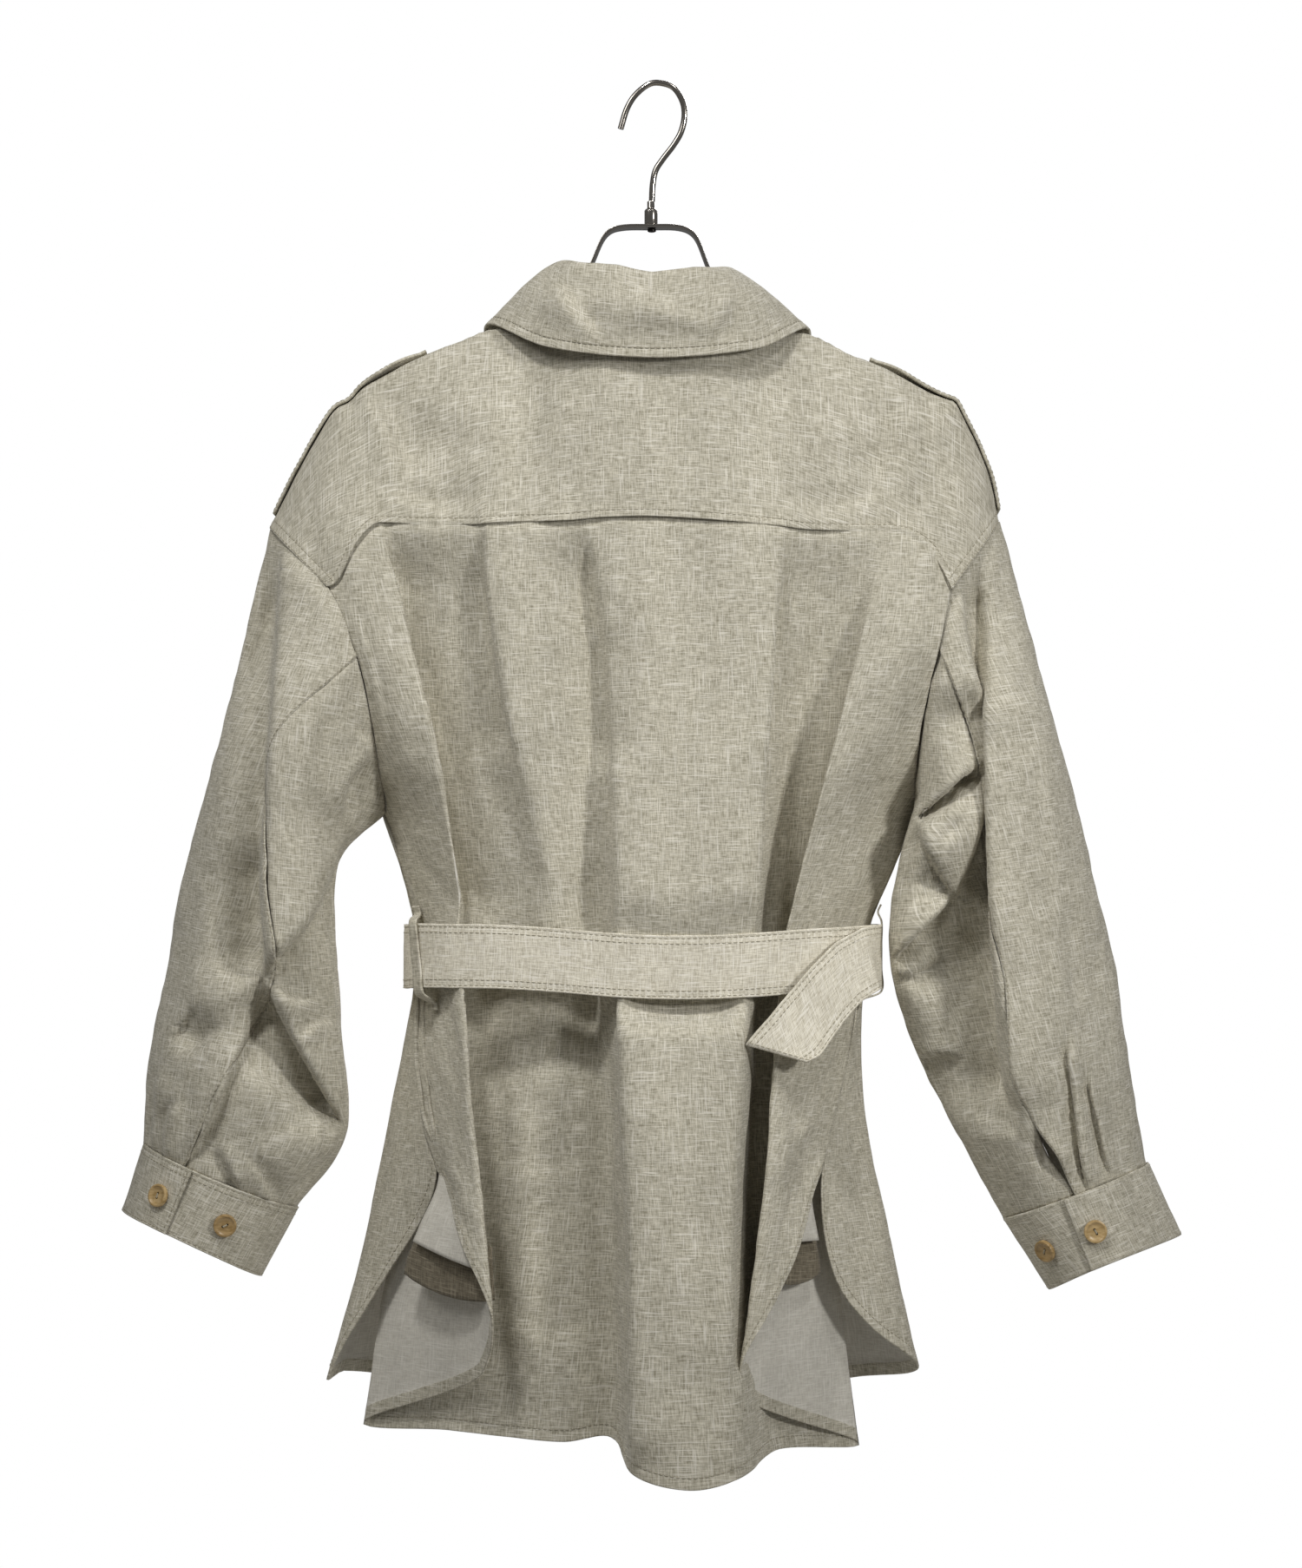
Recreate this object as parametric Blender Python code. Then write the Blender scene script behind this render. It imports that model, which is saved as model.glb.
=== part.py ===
# CPO jacket hanging on a metal hanger, its back towards -Y.
# Tables are in millimetres. The scene is in metres, +Z up, origin where the rail sits in the hook.
import math

import bmesh
import bpy
import numpy as np

MM = 0.001
# x and z in the tables are as seen on the hanger's plane from this far back and this height
EYE_BACK = 2500.0
EYE_HEIGHT = -458.0

# Cloth
CLOTH = 1.2
DOUBLE_CLOTH = 2.0
SEAM_GAP = 0.45

# How finely the panels are divided
BACK_STEPS = 3
BACK_ROWS = 16
YOKE_STEPS = 2
YOKE_ROWS = (0.0, 0.2, 0.38, 0.52, 0.6, 0.65, 0.7, 0.75, 0.82, 0.9, 1.0)
FRONT_STEPS = (12, 8)
FRONT_ROWS = 13
SLEEVE_STEPS = 13
SLEEVE_ROWS = 14

# Armhole loops: from the shoulder tip round the back, under the arm and up the front
ARMHOLE = (
    # name, left x, left z, right x, right z, y
    ("tip", -250, -290, 228, -286, 4),
    ("yoke_back", -212, -329, 197, -331, -38),
    ("back_mid", -196, -365, 191, -360, -44),
    ("back_low", -184, -411, 180, -408, -36),
    ("back_under", -178, -451, 174, -451, -16),
    ("under", -176, -476, 174, -476, 6),
    ("front_under", -179, -451, 177, -451, 28),
    ("front_low", -186, -411, 185, -408, 40),
    ("front_mid", -201, -365, 198, -363, 44),
    ("yoke_front", -221, -324, 211, -323, 38),
)
BACK_EDGE = ("yoke_back", "back_mid", "back_low", "back_under", "under")
FRONT_EDGE = ("yoke_front", "front_mid", "front_low", "front_under", "under")

# Side seams from the armpit down, and the way the slit edges of back and front go on below them
SIDE_SEAM = (
    # z, left x, right x, y
    (-513, -164, 159, 4),
    (-549, -155, 144, 0),
    (-599, -153, 136, -6),
    (-640, -154, 129, -18),
    (-685, -149, 118, -30),
    (-720, -140, 111, -40),
)
BACK_SLIT = ((-770, -156, 118, -46), (-850, -158, 122, -50))
FRONT_SLIT = ((-770, -128, 105, -48), (-850, -110, 98, -54))

# Folds of the back body from left to right, each followed down the panel
BACK_LEVELS = (-290, -417, -574, -673, -770, -867)
BACK_FOLDS = (
    # name, yoke seam z, hem z, x at each level, depth y at each level
    ("fold_l", -287, -806, (-177, -148, -125, -118, -108, -101), (-40, -54, -50, -66, -82, -92)),
    ("under_l", -287, -846, (-171, -150, -130, -124, -115, -110), (-40, -46, -38, -48, -56, -62)),
    ("tuck_l", -287, -877, (-165, -154, -138, -147, -172, -188), (-41, -36, -22, -14, 0, 4)),
    ("floor_l", -288, -882, (-154, -138, -114, -109, -120, -132), (-42, -36, -28, -24, -20, -24)),
    ("shade_l", -288, -887, (-116, -104, -84, -80, -84, -90), (-46, -42, -40, -36, -36, -42)),
    ("pleat_l", -288, -890, (-108, -92, -60, -57, -57, -57), (-50, -53, -50, -44, -46, -54)),
    ("valley_l", -285, -887, (-50, -43, -34, -29, -27, -26), (-50, -48, -46, -50, -54, -62)),
    ("ridge_l", -283, -912, (-29, -24, -21, -17, -14, -12), (-51, -56, -66, -76, -85, -94)),
    ("ridge_m", -282, -922, (20, 20, 21, 21, 21, 23), (-53, -60, -70, -82, -93, -104)),
    ("ridge_r", -290, -915, (87, 75, 63, 58, 54, 55), (-51, -57, -66, -76, -87, -96)),
    ("floor_r", -292, -895, (111, 97, 74, 70, 69, 80), (-46, -37, -30, -32, -32, -38)),
    ("tuck_r", -292, -891, (143, 128, 102, 104, 121, 134), (-43, -36, -22, -16, -6, 0)),
    ("under_r", -292, -864, (150, 126, 91, 84, 77, 66), (-42, -46, -38, -48, -56, -64)),
    ("fold_r", -292, -838, (156, 124, 86, 79, 70, 55), (-40, -54, -54, -66, -82, -92)),
)
SIDE_TOP = (-306, -306)
SIDE_HEM = (-744, -770)
SLIT_TOP = -711
SIDE_SWELL = 5.0

# Yoke: where it goes over the hanger's arms, or ends at the neck, for places along its back seam
YOKE_OVER = (
    # place on the back seam, shoulder ridge or rise to the neck x y z, front or neck edge x y z, turn
    (0.0, (-250, 4, -290), (-221, 38, -324), 1.0),
    (1.0, (-233, 2, -256), (-208, 33, -287), 1.0),
    (2.0, (-214, 0, -222), (-194, 28, -254), 1.0),
    (4.0, (-196, 0, -206), (-181, 26, -236), 1.0),
    (5.3, (-180, 0, -193), (-167, 25, -220), 1.0),
    (6.5, (-131, 0, -170), (-125, 24, -194), 1.0),
    (7.6, (-86, -8, -163), (-79, 6, -156), 0.3),
    (8.2, (-53, -33, -190), (-51, -24, -152), 0.0),
    (9.6, (1, -42, -190), (1, -34, -150), 0.0),
    (10.5, (54, -33, -190), (52, -24, -152), 0.0),
    (10.9, (87, -8, -164), (80, 6, -157), 0.3),
    (11.6, (134, 0, -178), (131, 24, -201), 1.0),
    (12.6, (178, 0, -199), (168, 25, -226), 1.0),
    (15.0, (206, 0, -220), (191, 28, -255), 1.0),
    (16.0, (221, 2, -254), (202, 33, -288), 1.0),
    (17.0, (228, 4, -286), (211, 38, -323), 1.0),
)
RIDGE_TURN = (20.0, 12.0)

# Fronts: x and y of the turn round the side, the side, the middle and the front edge at each level
FRONT_LEVELS = (-250, -411, -574, -673, -770, -850)
FRONT_LEFT = (
    # column, x at each level, y at each level
    ("turn", (-194, -166, -152, -171, -191, -213), (31, 45, 22, 8, 5, 0)),
    ("side", (-128, -124, -112, -138, -150, -165), (41, 50, 50, 45, 50, 55)),
    ("mid", (-64, -62, -60, -70, -75, -80), (49, 54, 58, 60, 66, 72)),
    ("edge", (15, 17, 17, 17, 17, 17), (55, 57, 63, 65, 71, 77)),
)
FRONT_RIGHT = (
    ("turn", (192, 164, 138, 140, 160, 178), (31, 45, 22, 6, 2, 0)),
    ("side", (130, 124, 106, 115, 125, 136), (41, 50, 50, 45, 50, 55)),
    ("mid", (64, 62, 58, 62, 68, 72), (49, 54, 58, 60, 66, 72)),
    ("edge", (-15, -17, -17, -17, -17, -17), (55, 57, 63, 65, 71, 77)),
)
# Front hems: place across the front, height
FRONT_HEM_LEFT = (
    (0, -711), (0.53, -770), (0.8, -816), (1, -844), (1.4, -843), (2, -846), (3, -852), (4, -856),
)
FRONT_HEM_RIGHT = (
    (0, -713), (0.2, -772), (0.47, -810), (0.77, -830), (1, -838), (2, -847), (3, -852), (4, -856),
)
UNDERLAP_STEP = 3.6

# Collar: neck seam, fold along the top of the stand, and free edge of the fall
COLLAR = (
    # name, neck x y z, fold x y z, edge x y z
    ("front_l", (14, 53, -207), (-14, 56, -179), (-58, 66, -236)),
    ("near_l", (-62, 44, -183), (-55, 34, -140), (-96, 48, -196)),
    ("side_l", (-79, 6, -156), (-59, 2, -117), (-108, 8, -157)),
    ("back_l", (-51, -24, -152), (-42, -28, -116), (-68, -35, -171)),
    ("back", (1, -34, -150), (1, -38, -120), (1, -50, -178)),
    ("back_r", (52, -24, -152), (38, -28, -119), (70, -35, -172)),
    ("side_r", (80, 6, -157), (51, 2, -121), (103, 8, -160)),
    ("near_r", (62, 44, -183), (52, 34, -142), (94, 48, -197)),
    ("front_r", (-14, 55, -207), (10, 56, -179), (56, 66, -236)),
)

COLLAR_ROLL = 9.0

# Sleeves: rings through their outer, back, inner and front points, and where the back seam crosses
SLEEVE_LEFT = (
    # way down the sleeve, outer x z, back x z y, inner x z y, front x z y, back seam
    (0.27, (-276, -405), (-240, -450, -62), (-206, -512, 4), (-238, -452, 56), 2.15),
    (0.45, (-297, -480), (-248, -515, -64), (-208, -560, 4), (-250, -515, 56), 2.5),
    (0.64, (-315, -560), (-256, -584, -58), (-204, -611, 4), (-260, -586, 56), 2.75),
    (0.85, (-330, -650), (-266, -668, -60), (-202, -690, 2), (-266, -668, 52), 1.95),
    (1.0, (-332, -695), (-284, -720, -46), (-233, -736, 0), (-283, -714, 36), 1.76),
)
SLEEVE_RIGHT = (
    (0.27, (260, -405), (218, -450, -62), (165, -506, -17), (216, -452, 54), 2.64),
    (0.45, (282, -480), (222, -515, -62), (157, -560, -14), (222, -515, 54), 2.53),
    (0.64, (300, -560), (232, -584, -58), (165, -611, -6), (230, -584, 54), 2.42),
    (0.85, (315, -650), (258, -668, -58), (199, -684, 0), (258, -668, 52), 2.8),
    (1.0, (326, -708), (281, -728, -46), (233, -743, 0), (281, -722, 36), 2.58),
)
CUFF_LEFT = ((-346, -738), (-303, -761, -45), (-257, -780, 0), (-301, -753, 34))
CUFF_RIGHT = ((347, -754), (298, -774, -45), (262, -789, 0), (297, -768, 34))
CUFF_OPENING = (1.96, 2.81)
CUFF_OVERLAP = 0.7
CUFF_BUTTONS = (
    # name, side, way round, stands on the upper end
    ("button_cuff_left_1", 0, 1.55, 1),
    ("button_cuff_left_2", 0, 2.96, 0),
    ("button_cuff_right_1", 1, 2.45, 1),
    ("button_cuff_right_2", 1, 3.7, 0),
)
FRONT_SLEEVE_SEAM = 7.2
ARMHOLE_GAP = 1.6

# Largest creases of the sleeves, pressed in from the back
SLEEVE_CREASES = (
    # name, start x z, middle x z, end x z, press, soft width left, soft width right
    ("fall_l", (-248, -310), (-254, -460), (-256, -580), 11, 24, 5),
    ("elbow_l", (-206, -512), (-226, -552), (-256, -590), 8, 5, 20),
    ("wrist_l", (-252, -592), (-232, -632), (-206, -678), 9, 24, 6),
    ("fall_r", (212, -320), (216, -430), (218, -480), 12, 18, 5),
    ("drop_r", (220, -500), (227, -590), (238, -670), 22, 50, 4),
    ("armpit_r", (176, -482), (190, -466), (210, -452), 8, 8, 8),
)

# Belt
BELT_WIDTH = 42.0
BELT_MIDDLE_X = -6.0
BELT_HALF = (155.5, 64.0, 70.0)
BELT_SQUARE = 3.0
BELT_Z = -571.0
BELT_SAG = 3.0
BELT_START = 12.0
BELT_TAIL = (
    # x, y, z, lean of the width
    (144, -46, -573, 0.28),
    (130, -55, -581, 0.42),
    (116, -62, -596, 0.52),
    (105, -67, -610, 0.66),
    (94, -72, -624, 0.95),
    (82, -76, -635, 1.3),
)
LOOP_WIDTH = 8.0
LOOPS = (
    # place on the back above and below the belt, depth y over its edges, lift off the body, lift off the belt
    (0.35, 0.8, -31.0, -38.5, 2.8, 2.2),
    (17.0, 17.0, -1.0, -4.0, 2.6, 3.6),
)
LOOP_RISE = ((-34, 0), (-29, 0), (-23, 1), (-8, 1), (8, 1), (23, 1), (29, 0), (34, 0))

# Pocket bags hang inside the side parts of the back
BAGS = (
    # name, inner and outer column on the back, top z, hem z at the inner and outer column
    ("pocket_bag_left", 1.42, 0.1, -645, -776, -757),
    ("pocket_bag_right", 15.6, 16.9, -645, -760, -757),
)
BAG_INSET = (1.6, 5.0)

# Shoulder straps
STRAP_WIDTH = (-7.0, 29.0)
STRAP_LIFT = 3.0
STRAPS = (("epaulette_left", 0.25, 6.15), ("epaulette_right", 16.75, 11.75))

# Buttons
BUTTON_SIZE = 15.0
BUTTON_THICK = 3.0
BUTTON_SIDES = 12
FRONT_BUTTONS = (
    # name, height
    ("button_front_1", -250),
    ("button_front_2", -325),
    ("button_front_3", -400),
    ("button_front_4", -475),
    ("button_front_5", -640),
    ("button_front_6", -715),
)
STRAP_BUTTON = (0.86, 0.35)

# Hanger
WIRE = 4.0
HOOK = (
    # x, z
    (-20, -28), (-15.5, -14), (-9.6, -5), (0, 1.9), (8, 1.9), (15, -1), (20.7, -10), (22, -19),
    (19.7, -30), (14.8, -38.6), (8, -47.5), (3, -55.3), (1.2, -64), (0.5, -74.6),
)
FERRULE = ((2.4, -75.0), (2.4, -80.0), (3.6, -80.4), (4.3, -81.6), (4.3, -91.3))
ARCH = (
    (-52.6, -144.6), (-45, -130), (-38, -115), (-31, -99.5), (-26, -94.8), (-18, -92.8), (0, -92.5),
    (17, -92.8), (24.6, -95), (29.4, -99.5), (36, -115.5), (41.6, -130), (47.6, -144.6),
)
ARCH_SECTION = (1.8, 18.0)
ARM_RADIUS = 5.0
ARM_START = ((-47.9, -148.8), (-62.9, -162), (-79, -172.6)), ((42.9, -148.8), (60.9, -162.9), (80, -173.6))
ARM_REACH = (1.4, 6.6), (11.5, 15.6)

# Colours
LINEN = (0.42, 0.38, 0.29)
LINEN_PALE = (0.50, 0.46, 0.36)
LINEN_INSIDE = (0.62, 0.61, 0.58)
HORN = (0.33, 0.22, 0.10)
NICKEL = (0.62, 0.60, 0.57)


def through(stations, values, at):
    # smooth run of a table's values between its rows
    st = np.asarray(stations, float)
    va = np.asarray(values, float)
    at = np.asarray(at, float)
    if st[0] > st[-1]:
        st, at = -st, -at
    slope = np.gradient(va, st, axis=0)
    k = np.clip(np.searchsorted(st, at) - 1, 0, len(st) - 2)
    more = (1,) * (va.ndim - 1)
    span = (st[k + 1] - st[k]).reshape(at.shape + more)
    free = ((at - st[k])).reshape(at.shape + more) / span
    t = np.clip(free, 0, 1)
    a, b = va[k], va[k + 1]
    ma, mb = slope[k] * span, slope[k + 1] * span
    inside = (
        (2 * t**3 - 3 * t**2 + 1) * a + (t**3 - 2 * t**2 + t) * ma
        + (3 * t**2 - 2 * t**3) * b + (t**3 - t**2) * mb
    )
    return inside + (free - t) * np.where(free > 1, mb, ma)


def across(controls, s):
    # point at place s on the section that runs through the control columns
    n = controls.shape[-2]
    before = 2 * controls[..., :1, :] - controls[..., 1:2, :]
    after = 2 * controls[..., -1:, :] - controls[..., -2:-1, :]
    p = np.concatenate([before, controls, after], axis=-2)
    i = np.clip(np.floor(s).astype(int), 0, n - 2)
    u = (s - i)[..., None]
    pick = []
    for k in range(4):
        pick.append(np.take_along_axis(p, (i + k)[..., None, None], axis=-2)[..., 0, :])
    knot = [np.zeros(u.shape)]
    for a, b in zip(pick, pick[1:]):
        step = np.maximum(np.linalg.norm(b - a, axis=-1, keepdims=True), 0.01)
        knot.append(knot[-1] + step**0.5)
    t = knot[1] + u * (knot[2] - knot[1])

    def mix(a, b, ta, tb):
        return ((tb - t) * a + (t - ta) * b) / (tb - ta)

    low = [mix(pick[k], pick[k + 1], knot[k], knot[k + 1]) for k in range(3)]
    high = [mix(low[k], low[k + 1], knot[k], knot[k + 2]) for k in range(2)]
    return mix(high[0], high[1], knot[1], knot[2])


def place(seen):
    # from the sizes as seen to the place in the room, along the line of sight
    seen = np.asarray(seen, float)
    grow = 1 + seen[..., 1] / EYE_BACK
    x = seen[..., 0] * grow
    z = EYE_HEIGHT + (seen[..., 2] - EYE_HEIGHT) * grow
    return np.stack([x, seen[..., 1], z], axis=-1)


def belt_depth(x, half):
    # how far out the belt stands at x
    reach = np.clip(np.abs(x - BELT_MIDDLE_X) / BELT_HALF[0], 0, 0.999)
    return half * (1 - reach**BELT_SQUARE) ** (1 / BELT_SQUARE)


def cinch(x, y, z):
    # the belt holds in whatever stands proud of it
    near = np.clip((50 - np.abs(z - BELT_Z + BELT_SAG)) / 22, 0, 1)
    near = near * near * (3 - 2 * near)
    room = DOUBLE_CLOTH / 2 + CLOTH / 2 + 0.4
    back = -(belt_depth(x, BELT_HALF[1]) - room)
    front = belt_depth(x, BELT_HALF[2]) - room
    return y + near * (np.clip(back - y, 0, None) - np.clip(y - front, 0, None))


def seam_rows(side, slit, rows):
    # x and y of a panel's side edge by height: armhole, side seam, slit
    names = [row[0] for row in ARMHOLE]
    table = []
    for name in rows:
        row = ARMHOLE[names.index(name)]
        table.append((row[2 + 2 * side], row[1 + 2 * side], row[5]))
    for z, left, right, y in SIDE_SEAM + slit:
        table.append((z, right if side else left, y))
    return np.array(table, float)


def edge_at(side, slit, rows, z):
    table = seam_rows(side, slit, rows)
    return through(table[:, 0], table[:, 1:], z)


def back_span():
    # heights of the yoke seam and of the hem for each column of the back
    top = [ARMHOLE[1][2], SIDE_TOP[0]] + [row[1] for row in BACK_FOLDS] + [SIDE_TOP[1], ARMHOLE[1][4]]
    hem = [SLIT_TOP, SIDE_HEM[0]] + [row[2] for row in BACK_FOLDS] + [SIDE_HEM[1], SLIT_TOP]
    return np.array(top, float), np.array(hem, float)


def back_at(s, z):
    # point on the back body at column place s and height z
    fold_x = np.array([row[3] for row in BACK_FOLDS], float).T
    fold_y = np.array([row[4] for row in BACK_FOLDS], float).T
    folds = np.stack([through(BACK_LEVELS, fold_x, z), through(BACK_LEVELS, fold_y, z)], axis=-1)
    left = edge_at(0, BACK_SLIT, BACK_EDGE, z)[..., None, :]
    right = edge_at(1, BACK_SLIT, BACK_EDGE, z)[..., None, :]
    swell = np.array([0, -SIDE_SWELL])
    side_l = (left + folds[..., :1, :]) / 2 + swell
    side_r = (right + folds[..., -1:, :]) / 2 + swell
    xy = across(np.concatenate([left, side_l, folds, side_r, right], axis=-2), s)
    x = xy[..., 0]
    y = cinch(x, xy[..., 1], z)
    return np.stack([x, y, z], axis=-1)


def back_edge_height(s, which):
    values = back_span()[which]
    places = range(len(values))
    return np.interp(s, places, values) if which == 0 else through(places, values, s)


def grid_of(a, b):
    return np.meshgrid(np.asarray(a, float), np.asarray(b, float), indexing="ij")


def heights(top, hem, rows):
    # rows from the top edge to the hem, with one at each edge of the belt
    above, below = BELT_Z - BELT_SAG + 27, BELT_Z - BELT_SAG - 27
    marks = (0, round(rows * 0.38), round(rows * 0.38) + 2, rows - 1)
    t = np.interp(range(rows), marks, (0, 1, 2, 3))
    first = top + (above - top) * np.clip(t, 0, 1)
    second = (below - above) * np.clip(t - 1, 0, 1)
    third = (hem - below) * np.clip(t - 2, 0, 1)
    return first + second + third


def back_grid():
    places = np.linspace(0, 17, 17 * BACK_STEPS + 1)
    s, t = grid_of(places, np.arange(BACK_ROWS))
    s[0] += 0.035
    s[-1] -= 0.035
    top = back_edge_height(s, 0) - SEAM_GAP
    hem = back_edge_height(s, 1)
    return place(back_at(s, heights(top, hem, BACK_ROWS)))


def yoke_at(s, v):
    # point on the yoke: v runs from the back seam over the shoulder to its front or neck edge
    spots = [row[0] for row in YOKE_OVER]
    ridge = through(spots, [row[1] for row in YOKE_OVER], s)
    end = through(spots, [row[2] for row in YOKE_OVER], s)
    turn = through(spots, [row[3] for row in YOKE_OVER], s)[..., None]
    seam = back_at(s, back_edge_height(s, 0) + SEAM_GAP)
    turn = np.clip(turn, 0, 1)
    back_bend = turn * (ridge + np.array([0, -RIDGE_TURN[0], -2.0]))
    back_bend = back_bend + (1 - turn) * ((seam + ridge) / 2 + np.array([0, -3.0, 0]))
    front_bend = turn * (ridge + np.array([0, RIDGE_TURN[1], -1.0])) + (1 - turn) * (ridge + end) / 2
    rise = np.clip(v / 0.7, 0, 1)[..., None]
    fall = np.clip((v - 0.7) / 0.3, 0, 1)[..., None]
    up = (1 - rise) ** 2 * seam + 2 * rise * (1 - rise) * back_bend + rise**2 * ridge
    over = (1 - fall) ** 2 * ridge + 2 * fall * (1 - fall) * front_bend + fall**2 * end
    return np.where(v[..., None] <= 0.7, up, over)


def yoke_places():
    spots = [row[0] for row in YOKE_OVER]
    steps = np.arange((len(spots) - 1) * YOKE_STEPS + 1) / YOKE_STEPS
    return np.interp(steps, range(len(spots)), spots)


def yoke_grid():
    s, v = grid_of(yoke_places(), YOKE_ROWS)
    s[0] += 0.02
    s[-1] -= 0.02
    return place(yoke_at(s, v))


def arm_path(side):
    # the hanger's arm lies under the ridge of the yoke
    low, high = ARM_REACH[side]
    s = yoke_places()
    s = s[(s >= low) & (s <= high)]
    s = s if side else s[::-1]
    ridge = place(yoke_at(s, np.full(s.shape, 0.7)))[:, [0, 2]]
    run = np.gradient(ridge, axis=0)
    run /= np.linalg.norm(run, axis=1, keepdims=True)
    down = np.stack([run[:, 1], -run[:, 0]], axis=1)
    down *= np.where(down[:, 1:] > 0, -1, 1)
    seat = ridge + down * (CLOTH / 2 + 1.0 + ARM_RADIUS)
    return np.concatenate([np.array(ARM_START[side], float), seat])


def neck_at(w, which):
    # neck seam, fold and edge lines of the collar from front to front
    line = np.array([row[which] for row in COLLAR], float)
    return across(np.broadcast_to(line, w.shape + line.shape), w)


def front_top(side, f):
    # upper edge of a front: under the yoke to the neck, then down the neckline
    yoke_s = through((0, 1, 2, 3, 4), (0.0, 2.0, 6.2, 7.6, 7.6), f) if side == 0 else through(
        (0, 1, 2, 3, 4), (17.0, 15.0, 11.8, 10.9, 10.9), f)
    yoke_s = np.clip(yoke_s, 0, 7.6) if side == 0 else np.clip(yoke_s, 10.9, 17)
    under_yoke = yoke_at(yoke_s, np.ones(f.shape))
    ahead = np.clip(f - 3, 0, 1)
    w = 2 - 2 * ahead if side == 0 else 6 + 2 * ahead
    return np.where((f <= 3)[..., None], under_yoke, neck_at(w, 1))


def front_at(side, f, z):
    rows = FRONT_RIGHT if side else FRONT_LEFT
    xs = np.array([row[1] for row in rows], float).T
    ys = np.array([row[2] for row in rows], float).T
    columns = np.stack([through(FRONT_LEVELS, xs, z), through(FRONT_LEVELS, ys, z)], axis=-1)
    edge = edge_at(side, FRONT_SLIT, FRONT_EDGE, z)[..., None, :]
    xy = across(np.concatenate([edge, columns], axis=-2), f)
    y = cinch(xy[..., 0], xy[..., 1], z)
    return np.stack([xy[..., 0], y, z], axis=-1)


def front_grid(side):
    under_yoke, along_neck = FRONT_STEPS
    columns = np.concatenate([np.linspace(0, 3, under_yoke + 1), np.linspace(3, 4, along_neck + 1)[1:]])
    f, t = grid_of(columns, np.arange(FRONT_ROWS))
    f[0] += 0.03
    return front_points(side, f)


def underlap(x):
    # the left front steps back where the right one lies over it
    return UNDERLAP_STEP * np.clip((x + 70) / 48, 0, 1)


def front_points(side, f):
    hem_rows = FRONT_HEM_RIGHT if side else FRONT_HEM_LEFT
    hem = through([row[0] for row in hem_rows], [row[1] for row in hem_rows], f)
    top = front_top(side, f)
    down = top[..., 2] - 2.0
    z = heights(down, hem, f.shape[1])
    body = front_at(side, f, z)
    # the upper part eases from the yoke seam into the panel
    near_top = np.clip(1 - (down - z) / np.maximum(down - FRONT_LEVELS[1], 60), 0, 1)
    ease = (near_top**2)[..., None]
    shift = top - front_at(side, f, down)
    shift[..., 2] = 0
    points = body + shift * ease
    if side == 0:
        points[..., 1] -= underlap(points[..., 0])
    return place(points)


def ring_at(row, c):
    # closed ring through the outer, back, inner and front points of a sleeve
    (ox, oz), (bx, bz, by), (ix, iz, iy), (fx, fz, fy) = row
    outer, inner = np.array([ox, 4.0, oz]), np.array([ix, iy, iz])
    back, front = np.array([bx, by, bz]), np.array([fx, fy, fz])
    turn = (c * 2 * math.pi / len(ARMHOLE))[..., None]
    middle = (outer + back + inner + front) / 4
    return (
        middle + (outer - inner) / 2 * np.cos(turn) + (back - front) / 2 * np.sin(turn)
        + (outer + inner - back - front) / 4 * np.cos(2 * turn)
    )


def armhole_at(side, c):
    loop = np.array([(row[1 + 2 * side], row[5], row[2 + 2 * side]) for row in ARMHOLE], float)
    loop = np.concatenate([loop[-2:], loop, loop[:3]])
    return across(np.broadcast_to(loop, c.shape + loop.shape), np.mod(c, len(ARMHOLE)) + 2)


def crease(points):
    # press the large creases into the side seen from the back
    x, y, z = points[..., 0], points[..., 1].copy(), points[..., 2]
    behind = np.clip((4 - y) / 24, 0, 1)
    for name, start, middle, end, press, left, right in SLEEVE_CREASES:
        rows = np.array([start, middle, end], float)
        along = np.clip((z - rows[0, 1]) / (rows[2, 1] - rows[0, 1]), -0.3, 1.3)
        mid = (rows[1, 1] - rows[0, 1]) / (rows[2, 1] - rows[0, 1])
        line = through((0, mid, 1), rows[:, 0], np.clip(along, 0, 1))
        off = x - line
        shape = np.where(off < 0, np.exp(-((off / left) ** 2)), np.exp(-((off / right) ** 2)))
        fade = np.clip(np.minimum(along + 0.12, 1.12 - along) / 0.24, 0, 1)
        own_side = (x < 0) == (rows[1, 0] < 0)
        y = y + press * shape * fade * behind * own_side
    return np.stack([x, y, z], axis=-1)


def sleeve_at(side, c, t):
    # point on a sleeve at place c round it and t down it, from armhole to cuff
    rows = SLEEVE_RIGHT if side else SLEEVE_LEFT
    stations = [0.0] + [row[0] for row in rows]
    rings = [armhole_at(side, c)] + [ring_at(row[1:5], c) for row in rows]
    stacked = np.stack(rings, axis=0)
    flat = np.moveaxis(stacked, 0, -2)
    st = np.array(stations)
    slope = np.gradient(flat, st, axis=-2)
    k = np.clip(np.searchsorted(st, t) - 1, 0, len(st) - 2)
    span = (st[k + 1] - st[k])[..., None]
    u = (t - st[k])[..., None] / span

    def at(block, index):
        return np.take_along_axis(block, index[..., None, None], axis=-2)[..., 0, :]

    points = (
        (2 * u**3 - 3 * u**2 + 1) * at(flat, k) + (u**3 - 2 * u**2 + u) * at(slope, k) * span
        + (3 * u**2 - 2 * u**3) * at(flat, k + 1) + (u**3 - u**2) * at(slope, k + 1) * span
    )
    return crease(points)


def sleeve_seam(side, t):
    rows = SLEEVE_RIGHT if side else SLEEVE_LEFT
    return through([0.0] + [row[0] for row in rows], [2.2] + [row[5] for row in rows], t)


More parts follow.
